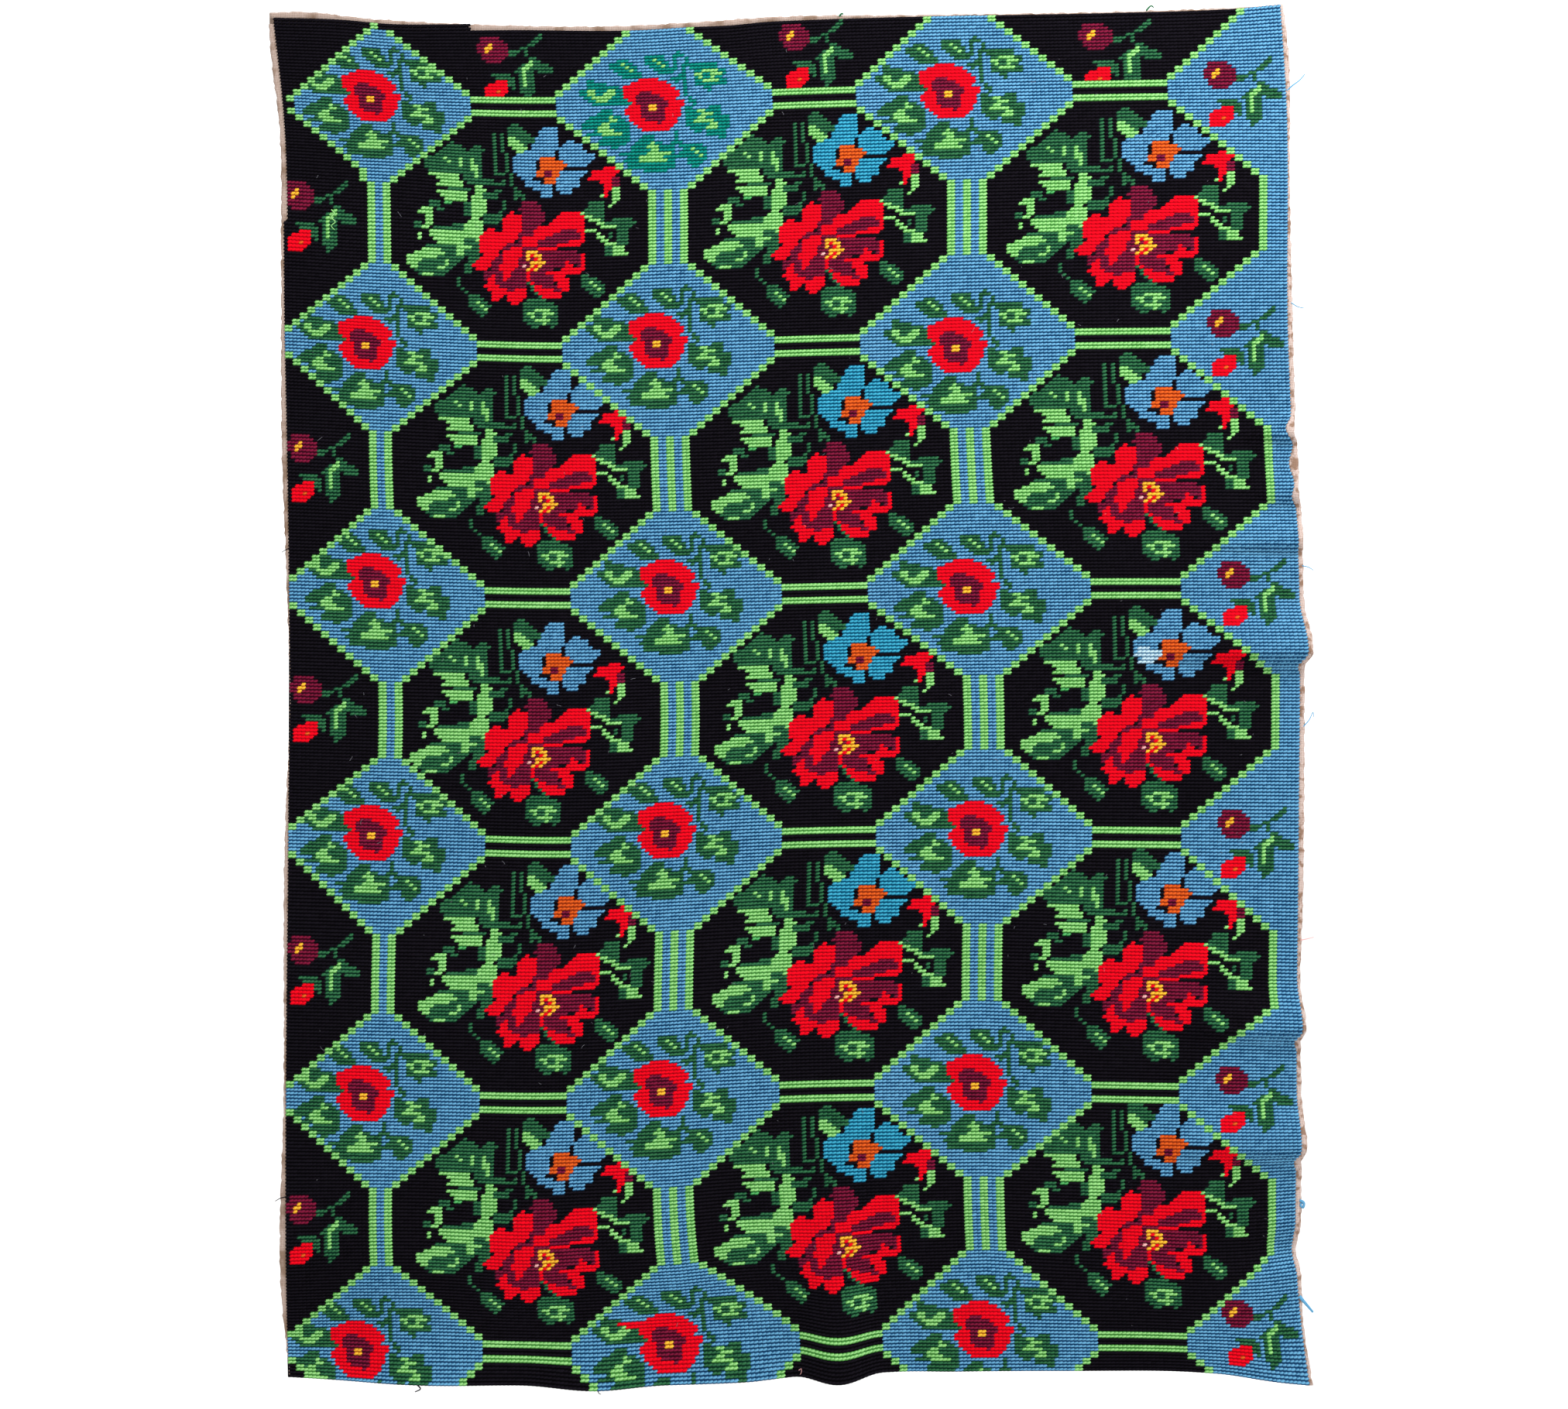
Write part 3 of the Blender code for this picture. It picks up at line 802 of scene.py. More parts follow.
class Nodes:
    """A material under work: adds nodes to it and joins them."""

    def __init__(self, name: str) -> None:
        """Start a material with its Principled shader.

        Args:
            name: the material's name.
        """
        self.material = bpy.data.materials.new(name)
        self.material.use_nodes = True
        self.tree = self.material.node_tree
        self.shader = self.tree.nodes["Principled BSDF"]

    def join(self, node: bpy.types.Node, inputs: Inputs) -> None:
        """Set a node's inputs.

        Args:
            node: the node.
            inputs: values, or sockets to join, by input name or number.
        """
        for key, value in inputs.items():
            if isinstance(value, Socket):
                self.tree.links.new(value, node.inputs[key])
            else:
                node.inputs[key].default_value = value

    def add(self, kind: str, settings: dict | None = None, inputs: Inputs | None = None) -> bpy.types.Node:
        """Add a node.

        Args:
            kind: the node's type, without its ShaderNode prefix.
            settings: the node's own properties.
            inputs: values, or sockets to join, by input name or number.

        Returns:
            The node.
        """
        node = self.tree.nodes.new(f"ShaderNode{kind}")
        for key, value in (settings or {}).items():
            setattr(node, key, value)
        self.join(node, inputs or {})
        return node

    def math(self, operation: str, *values: Socket | float) -> Socket:
        """Work out one number from others, and give its socket."""
        return self.add("Math", {"operation": operation}, dict(enumerate(values))).outputs[0]

    def blend(
        self, share: Socket | float, first: tuple | Socket, second: tuple | Socket, way: str = "MIX",
    ) -> Socket:
        """Mix two colours, and give the socket of the result."""
        node = self.add("Mix", {"data_type": "RGBA", "blend_type": way}, {0: share, 6: first, 7: second})
        return node.outputs[2]

    def spread(self, value: Socket, low: float, high: float) -> Socket:
        """Stretch a value of 0 to 1 to a range, and give its socket."""
        return self.add("MapRange", None, {0: value, 3: low, 4: high}).outputs[0]

    def step(self, value: Socket, low: float, high: float) -> Socket:
        """Give the socket of a slope that is 0 below a value's low mark and 1 above its high mark."""
        return self.add("MapRange", None, {0: value, 1: low, 2: high}).outputs[0]

    def noise(self, place: Socket, scale: float, detail: float = 2.0) -> Socket:
        """Add a noise pattern, and give the socket of its value."""
        return self.add("TexNoise", None, {"Vector": place, "Scale": scale, "Detail": detail}).outputs[0]

    def bump(self, height: Socket, strength: float, depth: float) -> Socket:
        """Turn a height into a bump of this strength and depth in metres, and give its socket."""
        node = self.add("Bump", None, {"Strength": strength, "Distance": depth, "Height": height})
        return node.outputs[0]

    def finish(self, inputs: Inputs) -> bpy.types.Material:
        """Set the shader's inputs, by name, to values or to joined sockets, and give the material."""
        self.join(self.shader, inputs)
        return self.material


@dataclass(frozen=True)
class WoolFinish:
    """A dyed wool yarn: matt, a little fuzzy, each stitch a shade of its own, its plies as bump."""

    name: str
    # light is the colour of a lit crest, a painted highlight; dark is the colour of a shaded groove, painted
    # shade
    light: Colour
    dark: Colour
    fuzz: float = 0.05
    fuzz_roughness: float = 0.5
    gloss: float = 0.03
    roughness: Range = (0.80, 0.97)
    patch_scale: float = 7.0
    patch_tone: float = 0.12
    fibre_scale: float = 900.0
    fibre_tone: float = 0.10
    fibre_height: float = 0.6
    # contrast and groove set how steeply the mesh's shade turns into painted shade and painted highlight
    contrast: float = 1.6
    groove: float = 0.25
    ply_scale: float = 1.3
    ply_wander: float = 1.2
    ply_height: float = 0.35
    ply_depth: float = 0.0006

    def material(self) -> bpy.types.Material:
        """Build the material: painted shade in the grooves and a painted highlight on the crests, by the
        mesh's shade.

        Returns:
            The material.
        """
        nodes = Nodes(self.name)
        place = nodes.add("TexCoord").outputs["Object"]
        shade = nodes.add("Attribute", {"attribute_name": "shade"}).outputs["Fac"]
        patches = nodes.spread(nodes.noise(place, self.patch_scale), -self.patch_tone, self.patch_tone)
        fibres = nodes.noise(place, self.fibre_scale, FINE)
        # Painted shade in the grooves and painted highlight on the crests, from the mesh's shade
        painted_crest_and_groove = nodes.math("MULTIPLY_ADD", shade, self.contrast, -self.contrast * self.groove)
        fleck = nodes.spread(fibres, -self.fibre_tone, self.fibre_tone)
        tone = nodes.math("ADD", nodes.math("ADD", painted_crest_and_groove, patches), fleck)
        tone = nodes.add("Clamp", None, {0: tone}).outputs[0]
        colour = nodes.blend(tone, linear(self.dark), linear(self.light))
        yarn = nodes.add("UVMap", {"uv_map": "yarn"}).outputs[0]
        plies = nodes.add(
            "TexWave", {"wave_type": "BANDS", "bands_direction": "DIAGONAL"},
            {"Vector": yarn, "Scale": self.ply_scale, "Distortion": self.ply_wander, "Detail": 1.0},
        ).outputs[1]
        height = nodes.math("ADD", plies, nodes.math("MULTIPLY", fibres, self.fibre_height))
        return nodes.finish({
            "Base Color": colour,
            "Roughness": nodes.spread(fibres, *self.roughness),
            "Normal": nodes.bump(height, self.ply_height, self.ply_depth),
            "Specular IOR Level": self.gloss,
            "Sheen Weight": self.fuzz,
            "Sheen Roughness": self.fuzz_roughness,
            "Sheen Tint": linear(self.light),
        })


# Each yarn: its lit crest colour, a painted highlight, then its shaded groove colour, painted shade
WOOLS: dict[Yarn, WoolFinish] = {
    Yarn.BLACK: WoolFinish("wool_black", (20, 17, 24), (4, 3, 5), 0.0),
    Yarn.BLUE: WoolFinish("wool_blue", (98, 159, 196), (17, 57, 93)),
    Yarn.LIME: WoolFinish("wool_lime", (145, 204, 126), (62, 126, 52)),
    Yarn.GREEN: WoolFinish("wool_green", (84, 172, 96), (22, 84, 40)),
    Yarn.DARK_GREEN: WoolFinish("wool_dark_green", (49, 105, 68), (8, 43, 28)),
    Yarn.RED: WoolFinish("wool_red", (234, 7, 29), (170, 4, 19)),
    Yarn.MAROON: WoolFinish("wool_maroon", (120, 24, 54), (52, 6, 22)),
    Yarn.ORANGE: WoolFinish("wool_orange", (212, 90, 31), (144, 48, 12)),
    Yarn.YELLOW: WoolFinish("wool_yellow", (236, 182, 54), (168, 104, 22)),
    Yarn.TURQUOISE: WoolFinish("wool_turquoise", (60, 160, 190), (8, 76, 106)),
    Yarn.TEAL: WoolFinish("wool_teal", (14, 132, 118), (2, 66, 62)),
    Yarn.PINK: WoolFinish("wool_pink", (226, 170, 168), (150, 90, 90)),
    Yarn.PALE_BLUE: WoolFinish("wool_pale_blue", (190, 216, 230), (84, 122, 146)),
}


@dataclass(frozen=True)
class CanvasFinish:
    """Woven cotton canvas: threads over and under each other, from the piece's own map in threads."""

    name: str
    light: Colour
    dark: Colour
    hole: Colour
    stain: Colour | None = None
    stain_scale: float = 60.0
    stain_marks: Range = (0.50, 0.62)
    hole_marks: Range = (0.25, 0.6)
    speckle_scale: float = 420.0
    speckle_tone: Range = (0.7, 1.15)
    roughness: Range = (0.82, 0.96)
    gloss: float = 0.1
    rib_height: float = 0.6
    rib_depth: float = 0.0005

    def material(self) -> bpy.types.Material:
        """Build the material: two crossing sets of ribs, dark holes where both are low, and stains.

        Returns:
            The material.
        """
        nodes = Nodes(self.name)
        threads = nodes.add("UVMap", {"uv_map": "threads"}).outputs[0]
        place = nodes.add("TexCoord").outputs["Object"]
        split = nodes.add("SeparateXYZ", None, {0: threads})
        ribs = []
        for axis in (0, 1):
            turn = nodes.math("MULTIPLY", split.outputs[axis], math.tau)
            ribs.append(nodes.math("MULTIPLY_ADD", nodes.math("SINE", turn), 0.5, 0.5))
        height = nodes.math("MAXIMUM", ribs[0], ribs[1])
        speckle = nodes.noise(place, self.speckle_scale, FINE)
        tone = nodes.math("MULTIPLY", height, nodes.spread(speckle, *self.speckle_tone))
        cloth = nodes.blend(speckle, linear(self.dark), linear(self.light))
        if self.stain:
            spots = nodes.noise(place, self.stain_scale, FINE)
            cloth = nodes.blend(nodes.step(spots, *self.stain_marks), cloth, linear(self.stain))
        colour = nodes.blend(nodes.step(tone, *self.hole_marks), linear(self.hole), cloth)
        return nodes.finish({
            "Base Color": colour,
            "Roughness": nodes.spread(speckle, *self.roughness),
            "Normal": nodes.bump(tone, self.rib_height, self.rib_depth),
            "Specular IOR Level": self.gloss,
        })


@dataclass(frozen=True)
class BackFinish:
    """The wrong side: the yarn's upright runs, in the colours of the stitches in front of them."""

    name: str = "wool_back"
    wander_scale: float = 160.0
    wander: float = 0.35
    rib_roundness: float = 0.5
    row_roundness: float = 0.35
    fibre_scale: float = 900.0
    fibre_tone: Range = (0.65, 1.15)
    roughness: Range = (0.82, 0.97)
    fuzz: float = 0.1
    gloss: float = 0.15
    rib_height: float = 0.9
    rib_depth: float = 0.0012

    def material(self) -> bpy.types.Material:
        """Build the material: ribs one stitch apart, with painted shade in the grooves and between the rows.

        Returns:
            The material.
        """
        nodes = Nodes(self.name)
        dye = nodes.add("Attribute", {"attribute_name": "dye"}).outputs["Color"]
        stitches = nodes.add("UVMap", {"uv_map": "stitches"}).outputs[0]
        place = nodes.add("TexCoord").outputs["Object"]
        wander = nodes.noise(place, self.wander_scale)
        split = nodes.add("SeparateXYZ", None, {0: stitches})
        across = nodes.math("ADD", split.outputs[0], nodes.spread(wander, -self.wander, self.wander))
        rib = nodes.math("ABSOLUTE", nodes.math("SINE", nodes.math("MULTIPLY", across, math.pi)))
        row = nodes.math("ABSOLUTE", nodes.math("SINE", nodes.math("MULTIPLY", split.outputs[1], math.pi)))
        rib = nodes.math("POWER", rib, self.rib_roundness)
        height = nodes.math("MULTIPLY", rib, nodes.math("POWER", row, self.row_roundness))
        fibres = nodes.noise(place, self.fibre_scale, FINE)
        tone = nodes.math("MULTIPLY", height, nodes.spread(fibres, *self.fibre_tone))
        # The rib height darkens the dye: painted shade in the grooves and between the rows, with fibre
        # flecks
        painted_shade_and_fibres = nodes.add("CombineColor", None, {0: tone, 1: tone, 2: tone}).outputs[0]
        colour = nodes.blend(1.0, dye, painted_shade_and_fibres, "MULTIPLY")
        return nodes.finish({
            "Base Color": colour,
            "Roughness": nodes.spread(fibres, *self.roughness),
            "Normal": nodes.bump(tone, self.rib_height, self.rib_depth),
            "Specular IOR Level": self.gloss,
            "Sheen Weight": self.fuzz,
        })


def new_piece(
    name: str, points: np.ndarray, faces: list[np.ndarray], materials: list[bpy.types.Material],
) -> bpy.types.Object:
    """Make a piece from its points and its arrays of faces, and let it ride on the body.

    Args:
        name: the piece's name.
        points: its points in metres, one a row.
        faces: arrays of corner numbers, one for each number of corners.
        materials: its materials.

    Returns:
        The new object, at the origin.
    """
    mesh = bpy.data.meshes.new(name)
    sizes = np.concatenate([np.full(len(part), part.shape[1]) for part in faces])
    corners = np.concatenate([part.ravel() for part in faces])
    mesh.vertices.add(len(points))
    mesh.vertices.foreach_set("co", points.astype(np.float32).ravel())
    mesh.loops.add(len(corners))
    mesh.loops.foreach_set("vertex_index", corners.astype(np.int32))
    mesh.polygons.add(len(sizes))
    starts = np.concatenate(([0], np.cumsum(sizes)[:-1]))
    mesh.polygons.foreach_set("loop_start", starts.astype(np.int32))
    mesh.update(calc_edges=True)
    mesh.validate()
    mesh.shade_smooth()
    for material in materials:
        mesh.materials.append(material)
    piece = bpy.data.objects.new(name, mesh)
    bpy.context.scene.collection.objects.link(piece)
    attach(piece, BODY)
    return piece


def point_map(piece: bpy.types.Object, name: str, places: np.ndarray) -> None:
    """Give a piece a UV map.

    Args:
        piece: the piece.
        name: the map's name.
        places: one place on the map for each of the piece's points.
    """
    mesh = piece.data
    corner_points = np.empty(len(mesh.loops), dtype=np.int32)
    mesh.loops.foreach_get("vertex_index", corner_points)
    layer = mesh.uv_layers.new(name=name)
    layer.uv.foreach_set("vector", places[corner_points].astype(np.float32).ravel())


def grid_faces(rows: int, columns: int) -> np.ndarray:
    """List the four-cornered faces of a grid of points, row by row: each joins a point to its neighbours.

    Args:
        rows: number of rows of points.
        columns: number of points in a row.

    Returns:
        The corner numbers, as an array of rows by columns of faces, with the corners along the last axis.
    """
    corner = np.arange(rows * columns).reshape(rows, columns)
    return np.stack((corner[1:, :-1], corner[1:, 1:], corner[:-1, 1:], corner[:-1, :-1]), axis=-1)


def thicken(piece: bpy.types.Object, thickness: float) -> None:
    """Give a surface its thickness, half on each side.

    Args:
        piece: the piece.
        thickness: in millimetres.
    """
    solid = piece.modifiers.new("thickness", "SOLIDIFY")
    solid.thickness = thickness * MM
    solid.offset = 0.0


def point_values(piece: bpy.types.Object, name: str, values: np.ndarray) -> None:
    """Give a piece an attribute with one number for each of its points."""
    attribute = piece.data.attributes.new(name, "FLOAT", "POINT")
    attribute.data.foreach_set("value", values.astype(np.float32))


@dataclass(frozen=True)
class StitchShape:
    """One plump cross stitch, measured in cells: a slanted cushion with six corners and a ridge.

    The ridge is the upper arm, which rises from lower left to upper right. The corners at the left and
    the right are higher than the others, so that a row of stitches makes one rib with deep grooves
    between the rows, and the small gaps where four stitches meet are the holes of the canvas.
    """

    foot: float = 0.5
    flank: float = 2.1
    ridge: float = 2.5

    def points(self) -> np.ndarray:
        """List the points: across, down, lift in millimetres, shade, and place along and around the arm."""
        # The shade column is painted light: painted shade at the feet for the grooves between rows, a
        # painted highlight on the ridge, brightest at its upper right end
        return np.array((
            (0.13, 0.00, self.foot, -0.05, 0.0, 0.1),
            (0.92, -0.08, self.foot, 0.10, 0.8, 0.0),
            (1.16, 0.36, self.flank, 0.50, 1.0, 0.5),
            (0.87, 0.98, self.foot, -0.20, 1.0, 0.9),
            (0.08, 1.06, self.foot, -0.15, 0.2, 1.0),
            (-0.16, 0.62, self.flank, 0.34, 0.0, 0.5),
            (0.32, 0.52, self.ridge, 0.95, 0.3, 0.5),
            (0.68, 0.34, self.ridge, 1.30, 0.7, 0.5),
        ))

    def quads(self) -> np.ndarray:
        """List the four-cornered faces: the upper and the lower flank."""
        return np.array(((6, 7, 1, 0), (4, 3, 7, 6)))

    def triangles(self) -> np.ndarray:
        """List the three-cornered faces at the two ends."""
        return np.array(((7, 2, 1), (3, 2, 7), (5, 4, 6), (0, 5, 6)))


@dataclass
class StitchedFace:
    """All the stitches of the face, joined into one mesh for each yarn and band of rows."""

    lattice: StitchLattice
    grid: np.ndarray
    shape: StitchShape = field(default_factory=StitchShape)
    # The yarns with too many stitches for one piece, and their numbers of bands of rows.
    bands: tuple[tuple[Yarn, int], ...] = ((Yarn.BLACK, 3), (Yarn.BLUE, 2))
    seed: int = 11
    unevenness: float = 0.08
    shade_spread: float = 0.06
    ply_shift: float = 3.0
    map_border: int = 1

    def build(self) -> list[bpy.types.Object]:
        """Build every band of stitches.

        Returns:
            The pieces.
        """
        across, down = self.lattice.threads()
        middle = self.lattice.cloth.middle(across, down)
        outward = self.lattice.cloth.outward(across, down)
        random = np.random.default_rng(self.seed)
        height = random.normal(1.0, self.unevenness, self.grid.shape)
        shade = random.normal(0.0, self.shade_spread, self.grid.shape)
        pieces = []
        for yarn in WOOLS:
            count = dict(self.bands).get(yarn, 1)
            cells = np.argwhere(self.grid == yarn)
            for number, part in enumerate(np.array_split(cells, count)):
                name = f"stitches_{yarn.name.lower()}" + (f"_{number + 1}" if count > 1 else "")
                piece = self.piece(name, yarn, part, middle, outward, height, shade)
                pieces.append(piece)
                LOG.info("%s: %d stitches, %d faces", name, len(part), len(piece.data.polygons))
        return pieces

    def piece(
        self, name: str, yarn: Yarn, cells: np.ndarray, middle: np.ndarray, outward: np.ndarray,
        height: np.ndarray, shade: np.ndarray,
    ) -> bpy.types.Object:
        """Join the stitches of some cells: each point is the cell's corners, mixed by its place in the cell.

        Args:
            name: the piece's name.
            yarn: the yarn.
            cells: rows and columns of the grid.
            middle: the cloth's points at the thread crossings.
            outward: the cloth's normals there.
            height: how high each stitch stands, about 1.
            shade: how much lighter each stitch is.

        Returns:
            The piece.
        """
        table = self.shape.points()
        rows, columns = cells[:, 0, None], cells[:, 1, None]
        right, low = table[:, 0], table[:, 1]
        weights = (
            ((1 - low) * (1 - right), 0, 0), ((1 - low) * right, 0, 1),
            (low * (1 - right), 1, 0), (low * right, 1, 1),
        )
        place = sum(share[None, :, None] * middle[rows + r, columns + c] for share, r, c in weights)
        lift_way = outward[rows, columns]
        lift = table[None, :, 2] * height[rows, columns]
        points = place + lift_way * lift[..., None] * MM
        count = len(table)
        first = np.arange(len(cells))[:, None, None] * count
        faces = [(first + part[None]).reshape(-1, part.shape[1])
                 for part in (self.shape.quads(), self.shape.triangles())]
        piece = new_piece(name, points.reshape(-1, 3), faces, [WOOLS[yarn].material()])
        on_chart = np.stack((columns + self.map_border + right, rows + self.map_border + low), axis=-1)
        on_chart = on_chart / (np.array(self.grid.shape[::-1]) + 2.0 * self.map_border)
        on_chart[..., 1] = 1.0 - on_chart[..., 1]
        point_map(piece, "OFBake", on_chart.reshape(-1, 2))
        arm_place = np.broadcast_to(table[None, :, 4:6], (len(cells), count, 2))
        arm_place = arm_place + self.ply_shift * height[rows, columns, None]
        point_map(piece, "yarn", arm_place.reshape(-1, 2))
        # shade: the shape's painted shade in the grooves and painted highlight on the crests, plus each
        # stitch's random tone
        point_values(piece, "shade", (table[None, :, 3] + shade[rows, columns]).ravel())
        return piece


@dataclass
class Canvas:
    """The woven ground behind the stitches: near black under the wool, painted shade for the gaps between
    stitches, and bare along its top edge.
    """

    lattice: StitchLattice
    thickness: float = 0.5
    out: float = -0.7
    inset: float = 1.5
    outset: float = 1.0
    step: int = 4
    fold_step: int = 2
    fold_widths: float = 2.0
    above_crest: float = 40.0
    past_pleat: Range = (6.0, 14.0)  # above, below
    # Under the wool the canvas is near black: painted shade seen through the gaps between the stitches
    under_wool_painted_shade: CanvasFinish = CanvasFinish("canvas_under_wool_painted_shade", (34, 28, 30), (18, 15, 17), (6, 5, 6))
    bare: CanvasFinish = CanvasFinish("bare_canvas", (150, 132, 120), (118, 98, 84), (70, 52, 42))

    def stations(self, down: np.ndarray) -> np.ndarray:
        """Choose the rows of the ground's grid: every fourth one, and every one near a pleat's crest.

        Args:
            down: how far down each crossing lies.

        Returns:
            The rows.
        """
        rows = np.arange(self.lattice.rows + 1)
        height = down[self.lattice.rows_above:, -1]
        near = np.zeros(len(rows), dtype=bool)
        above, below = self.past_pleat
        for crest, swell, tuck, *_ in self.lattice.cloth.side_pleats:
            near |= (height > crest - min(swell, self.above_crest) - above) & (height < crest + tuck + below)
        return rows[near | (rows % self.step == 0)]

    def columns(self, across: np.ndarray) -> np.ndarray:
        """Choose the columns of the ground's grid: every fourth one, and more in the deep fold.

        Args:
            across: how far across each crossing lies.

        Returns:
            The columns.
        """
        middle, half_width, *_ = self.lattice.cloth.hem_folds[0]
        columns = np.arange(self.lattice.columns + 1)
        near = np.abs(across[-1] - middle) < self.fold_widths * half_width
        near &= columns % self.fold_step == 0
        return columns[near | (columns % self.step == 0) | (columns == self.lattice.columns)]

    def build(self) -> bpy.types.Object:
        """Build the ground as one grid through the thread crossings and out to the canvas's edges.

        Returns:
            The piece, which replaces the solid panel.
        """
        cloth = self.lattice.cloth
        across_all, down_all = self.lattice.threads()
        rows = self.stations(down_all)
        columns = self.columns(across_all)
        kept = np.ix_(rows + self.lattice.rows_above, columns)
        across, down = across_all[kept], down_all[kept]
        top = smooth_edge(cloth.top_edge, across[0]) + self.inset
        across = np.concatenate((across[:1], across))
        down = np.concatenate((top[None], down))
        across[:, 0] -= self.outset
        across[:, -1] += self.outset
        points = cloth.place(across, down, np.full_like(across, self.out))
        faces = grid_faces(*across.shape)
        materials = [self.under_wool_painted_shade.material(), self.bare.material()]
        points = points.reshape(-1, 3)
        piece = new_piece("ground_canvas", points, [faces.reshape(-1, 4)], materials)
        bare = np.zeros(faces.shape[:2], dtype=np.int32)
        bare[0] = 1
        piece.data.polygons.foreach_set("material_index", bare.ravel())
        point_map(piece, "threads", np.stack((across, down), axis=-1).reshape(-1, 2) / THREAD)
        thicken(piece, self.thickness)
        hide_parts(PANEL_NODE)
        LOG.info("ground_canvas: %d rows of %d points", *across.shape)
        return piece


@dataclass
class Margins:
    """The bare margins of the canvas, from under the outer stitches to the wavy cut edge."""

    lattice: StitchLattice
    grid: np.ndarray
    shares: tuple[float, ...] = (0.0, 0.4, 0.65, 0.85, 1.0)
    swell: tuple[float, ...] = (-0.1, 0.1, 0.9, 0.6, -0.4)
    curl_out: float = 0.35
    tuck: float = 1.5
    wave: float = 0.7
    flutter: float = 0.35
    flutter_shift: float = 500.0
    periods: tuple[float, ...] = (9.0, 14.0, 23.0, 41.0)
    thickness: float = 0.8
    seed: int = 31
    long_stains: CanvasFinish = CanvasFinish(
        "margin_left", (184, 167, 158), (152, 130, 118), (104, 84, 72), (128, 106, 90), 34.0)
    short_stains: CanvasFinish = CanvasFinish(
        "margin_right", (208, 192, 186), (176, 152, 140), (116, 92, 80), (136, 108, 90), 110.0)

    def ripple(self, along: np.ndarray) -> np.ndarray:
        """Give the wave of a cut edge: a sum of sines with seeded phases.

        Args:
            along: the place along the edge in millimetres.

        Returns:
            A number of about -1 to 1 at each place.
        """
        phases = np.random.default_rng(self.seed).uniform(0.0, math.tau, len(self.periods))
        waves = [np.sin(along * math.tau / period + phase) for period, phase in zip(self.periods, phases)]
        return sum(waves) / len(waves) ** 0.5

    def strip(
        self, name: str, inner: tuple[np.ndarray, np.ndarray], outer: tuple[np.ndarray, np.ndarray],
        curl: np.ndarray, finish: CanvasFinish,
    ) -> bpy.types.Object:
        """Build one margin: each line runs from the wool to the cut edge and swells a little.

        Args:
            name: the piece's name.
            inner: across and down along its side at the wool.
            outer: across and down along its cut edge.
            curl: how far the edge is drawn in at each place.
            finish: its finish.

        Returns:
            The piece.
        """
        share = np.array(self.shares)[None]
        way = np.stack((outer[0] - inner[0], outer[1] - inner[1]), axis=-1)
        width = np.linalg.norm(way, axis=-1, keepdims=True)
        along = np.concatenate(([0.0], np.cumsum(np.hypot(np.diff(outer[0]), np.diff(outer[1])))))
        reach = width + self.wave * self.ripple(along)[:, None]
        outwards = way / width
        travel = share * reach
        across = inner[0][:, None] + outwards[:, 0, None] * travel
        down = inner[1][:, None] + outwards[:, 1, None] * travel
        out = np.array(self.swell)[None] + curl[:, None] * self.curl_out * share
        out = out + self.flutter * self.ripple(along + self.flutter_shift)[:, None] * share
        points = self.lattice.cloth.place(across, down, out).reshape(-1, 3)
        faces = grid_faces(*across.shape)
        row_way = (across[0, -1] - across[0, 0], down[0, -1] - down[0, 0])
        column_way = (across[-1, 0] - across[0, 0], down[-1, 0] - down[0, 0])
        if row_way[0] * column_way[1] < row_way[1] * column_way[0]:
            faces = faces[..., ::-1]
        piece = new_piece(name, points, [faces.reshape(-1, 4)], [finish.material()])
        threads = np.stack((travel, np.broadcast_to(along[:, None], across.shape)), axis=-1)
        point_map(piece, "threads", threads.reshape(-1, 2) / THREAD)
        thicken(piece, self.thickness)
        LOG.info("%s: %d rows of %d points", name, *across.shape)
        return piece

    def build(self) -> list[bpy.types.Object]:
        """Build the left, the right and the top margin.

        Returns:
            The pieces.
        """
        cloth = self.lattice.cloth
        across, down = self.lattice.threads()
        first = self.lattice.rows_above
        rows = np.arange(first, across.shape[0])
        edge_column = np.argmax(self.grid != Yarn.BARE, axis=1)
        edge_column = np.append(edge_column, edge_column[-1])[first:]
        left = (across[rows, edge_column] + self.tuck, down[first:, 0])
        right = (across[first:, -1] - self.tuck, down[first:, -1])
        columns = np.arange(across.shape[1])
        top_row = np.argmax(self.grid != Yarn.BARE, axis=0)
        top_row = np.append(np.append(top_row[1], top_row[1:]), top_row[-1])
        top = (across[top_row, columns], down[top_row, columns] + self.tuck)
        left_cut = (smooth_edge(cloth.left_edge, left[1]), left[1])
        right_cut = (smooth_edge(cloth.right_edge, right[1]), right[1])
        top_cut = (top[0], smooth_edge(cloth.top_edge, top[0]))
        return [
            self.strip("margin_left", left, left_cut, np.zeros(len(left[1])), self.long_stains),
            self.strip("margin_right", right, right_cut, self.lattice.curl(right[1]), self.short_stains),
            self.strip("margin_top", top, top_cut, np.zeros(len(top[0])), self.long_stains),
        ]


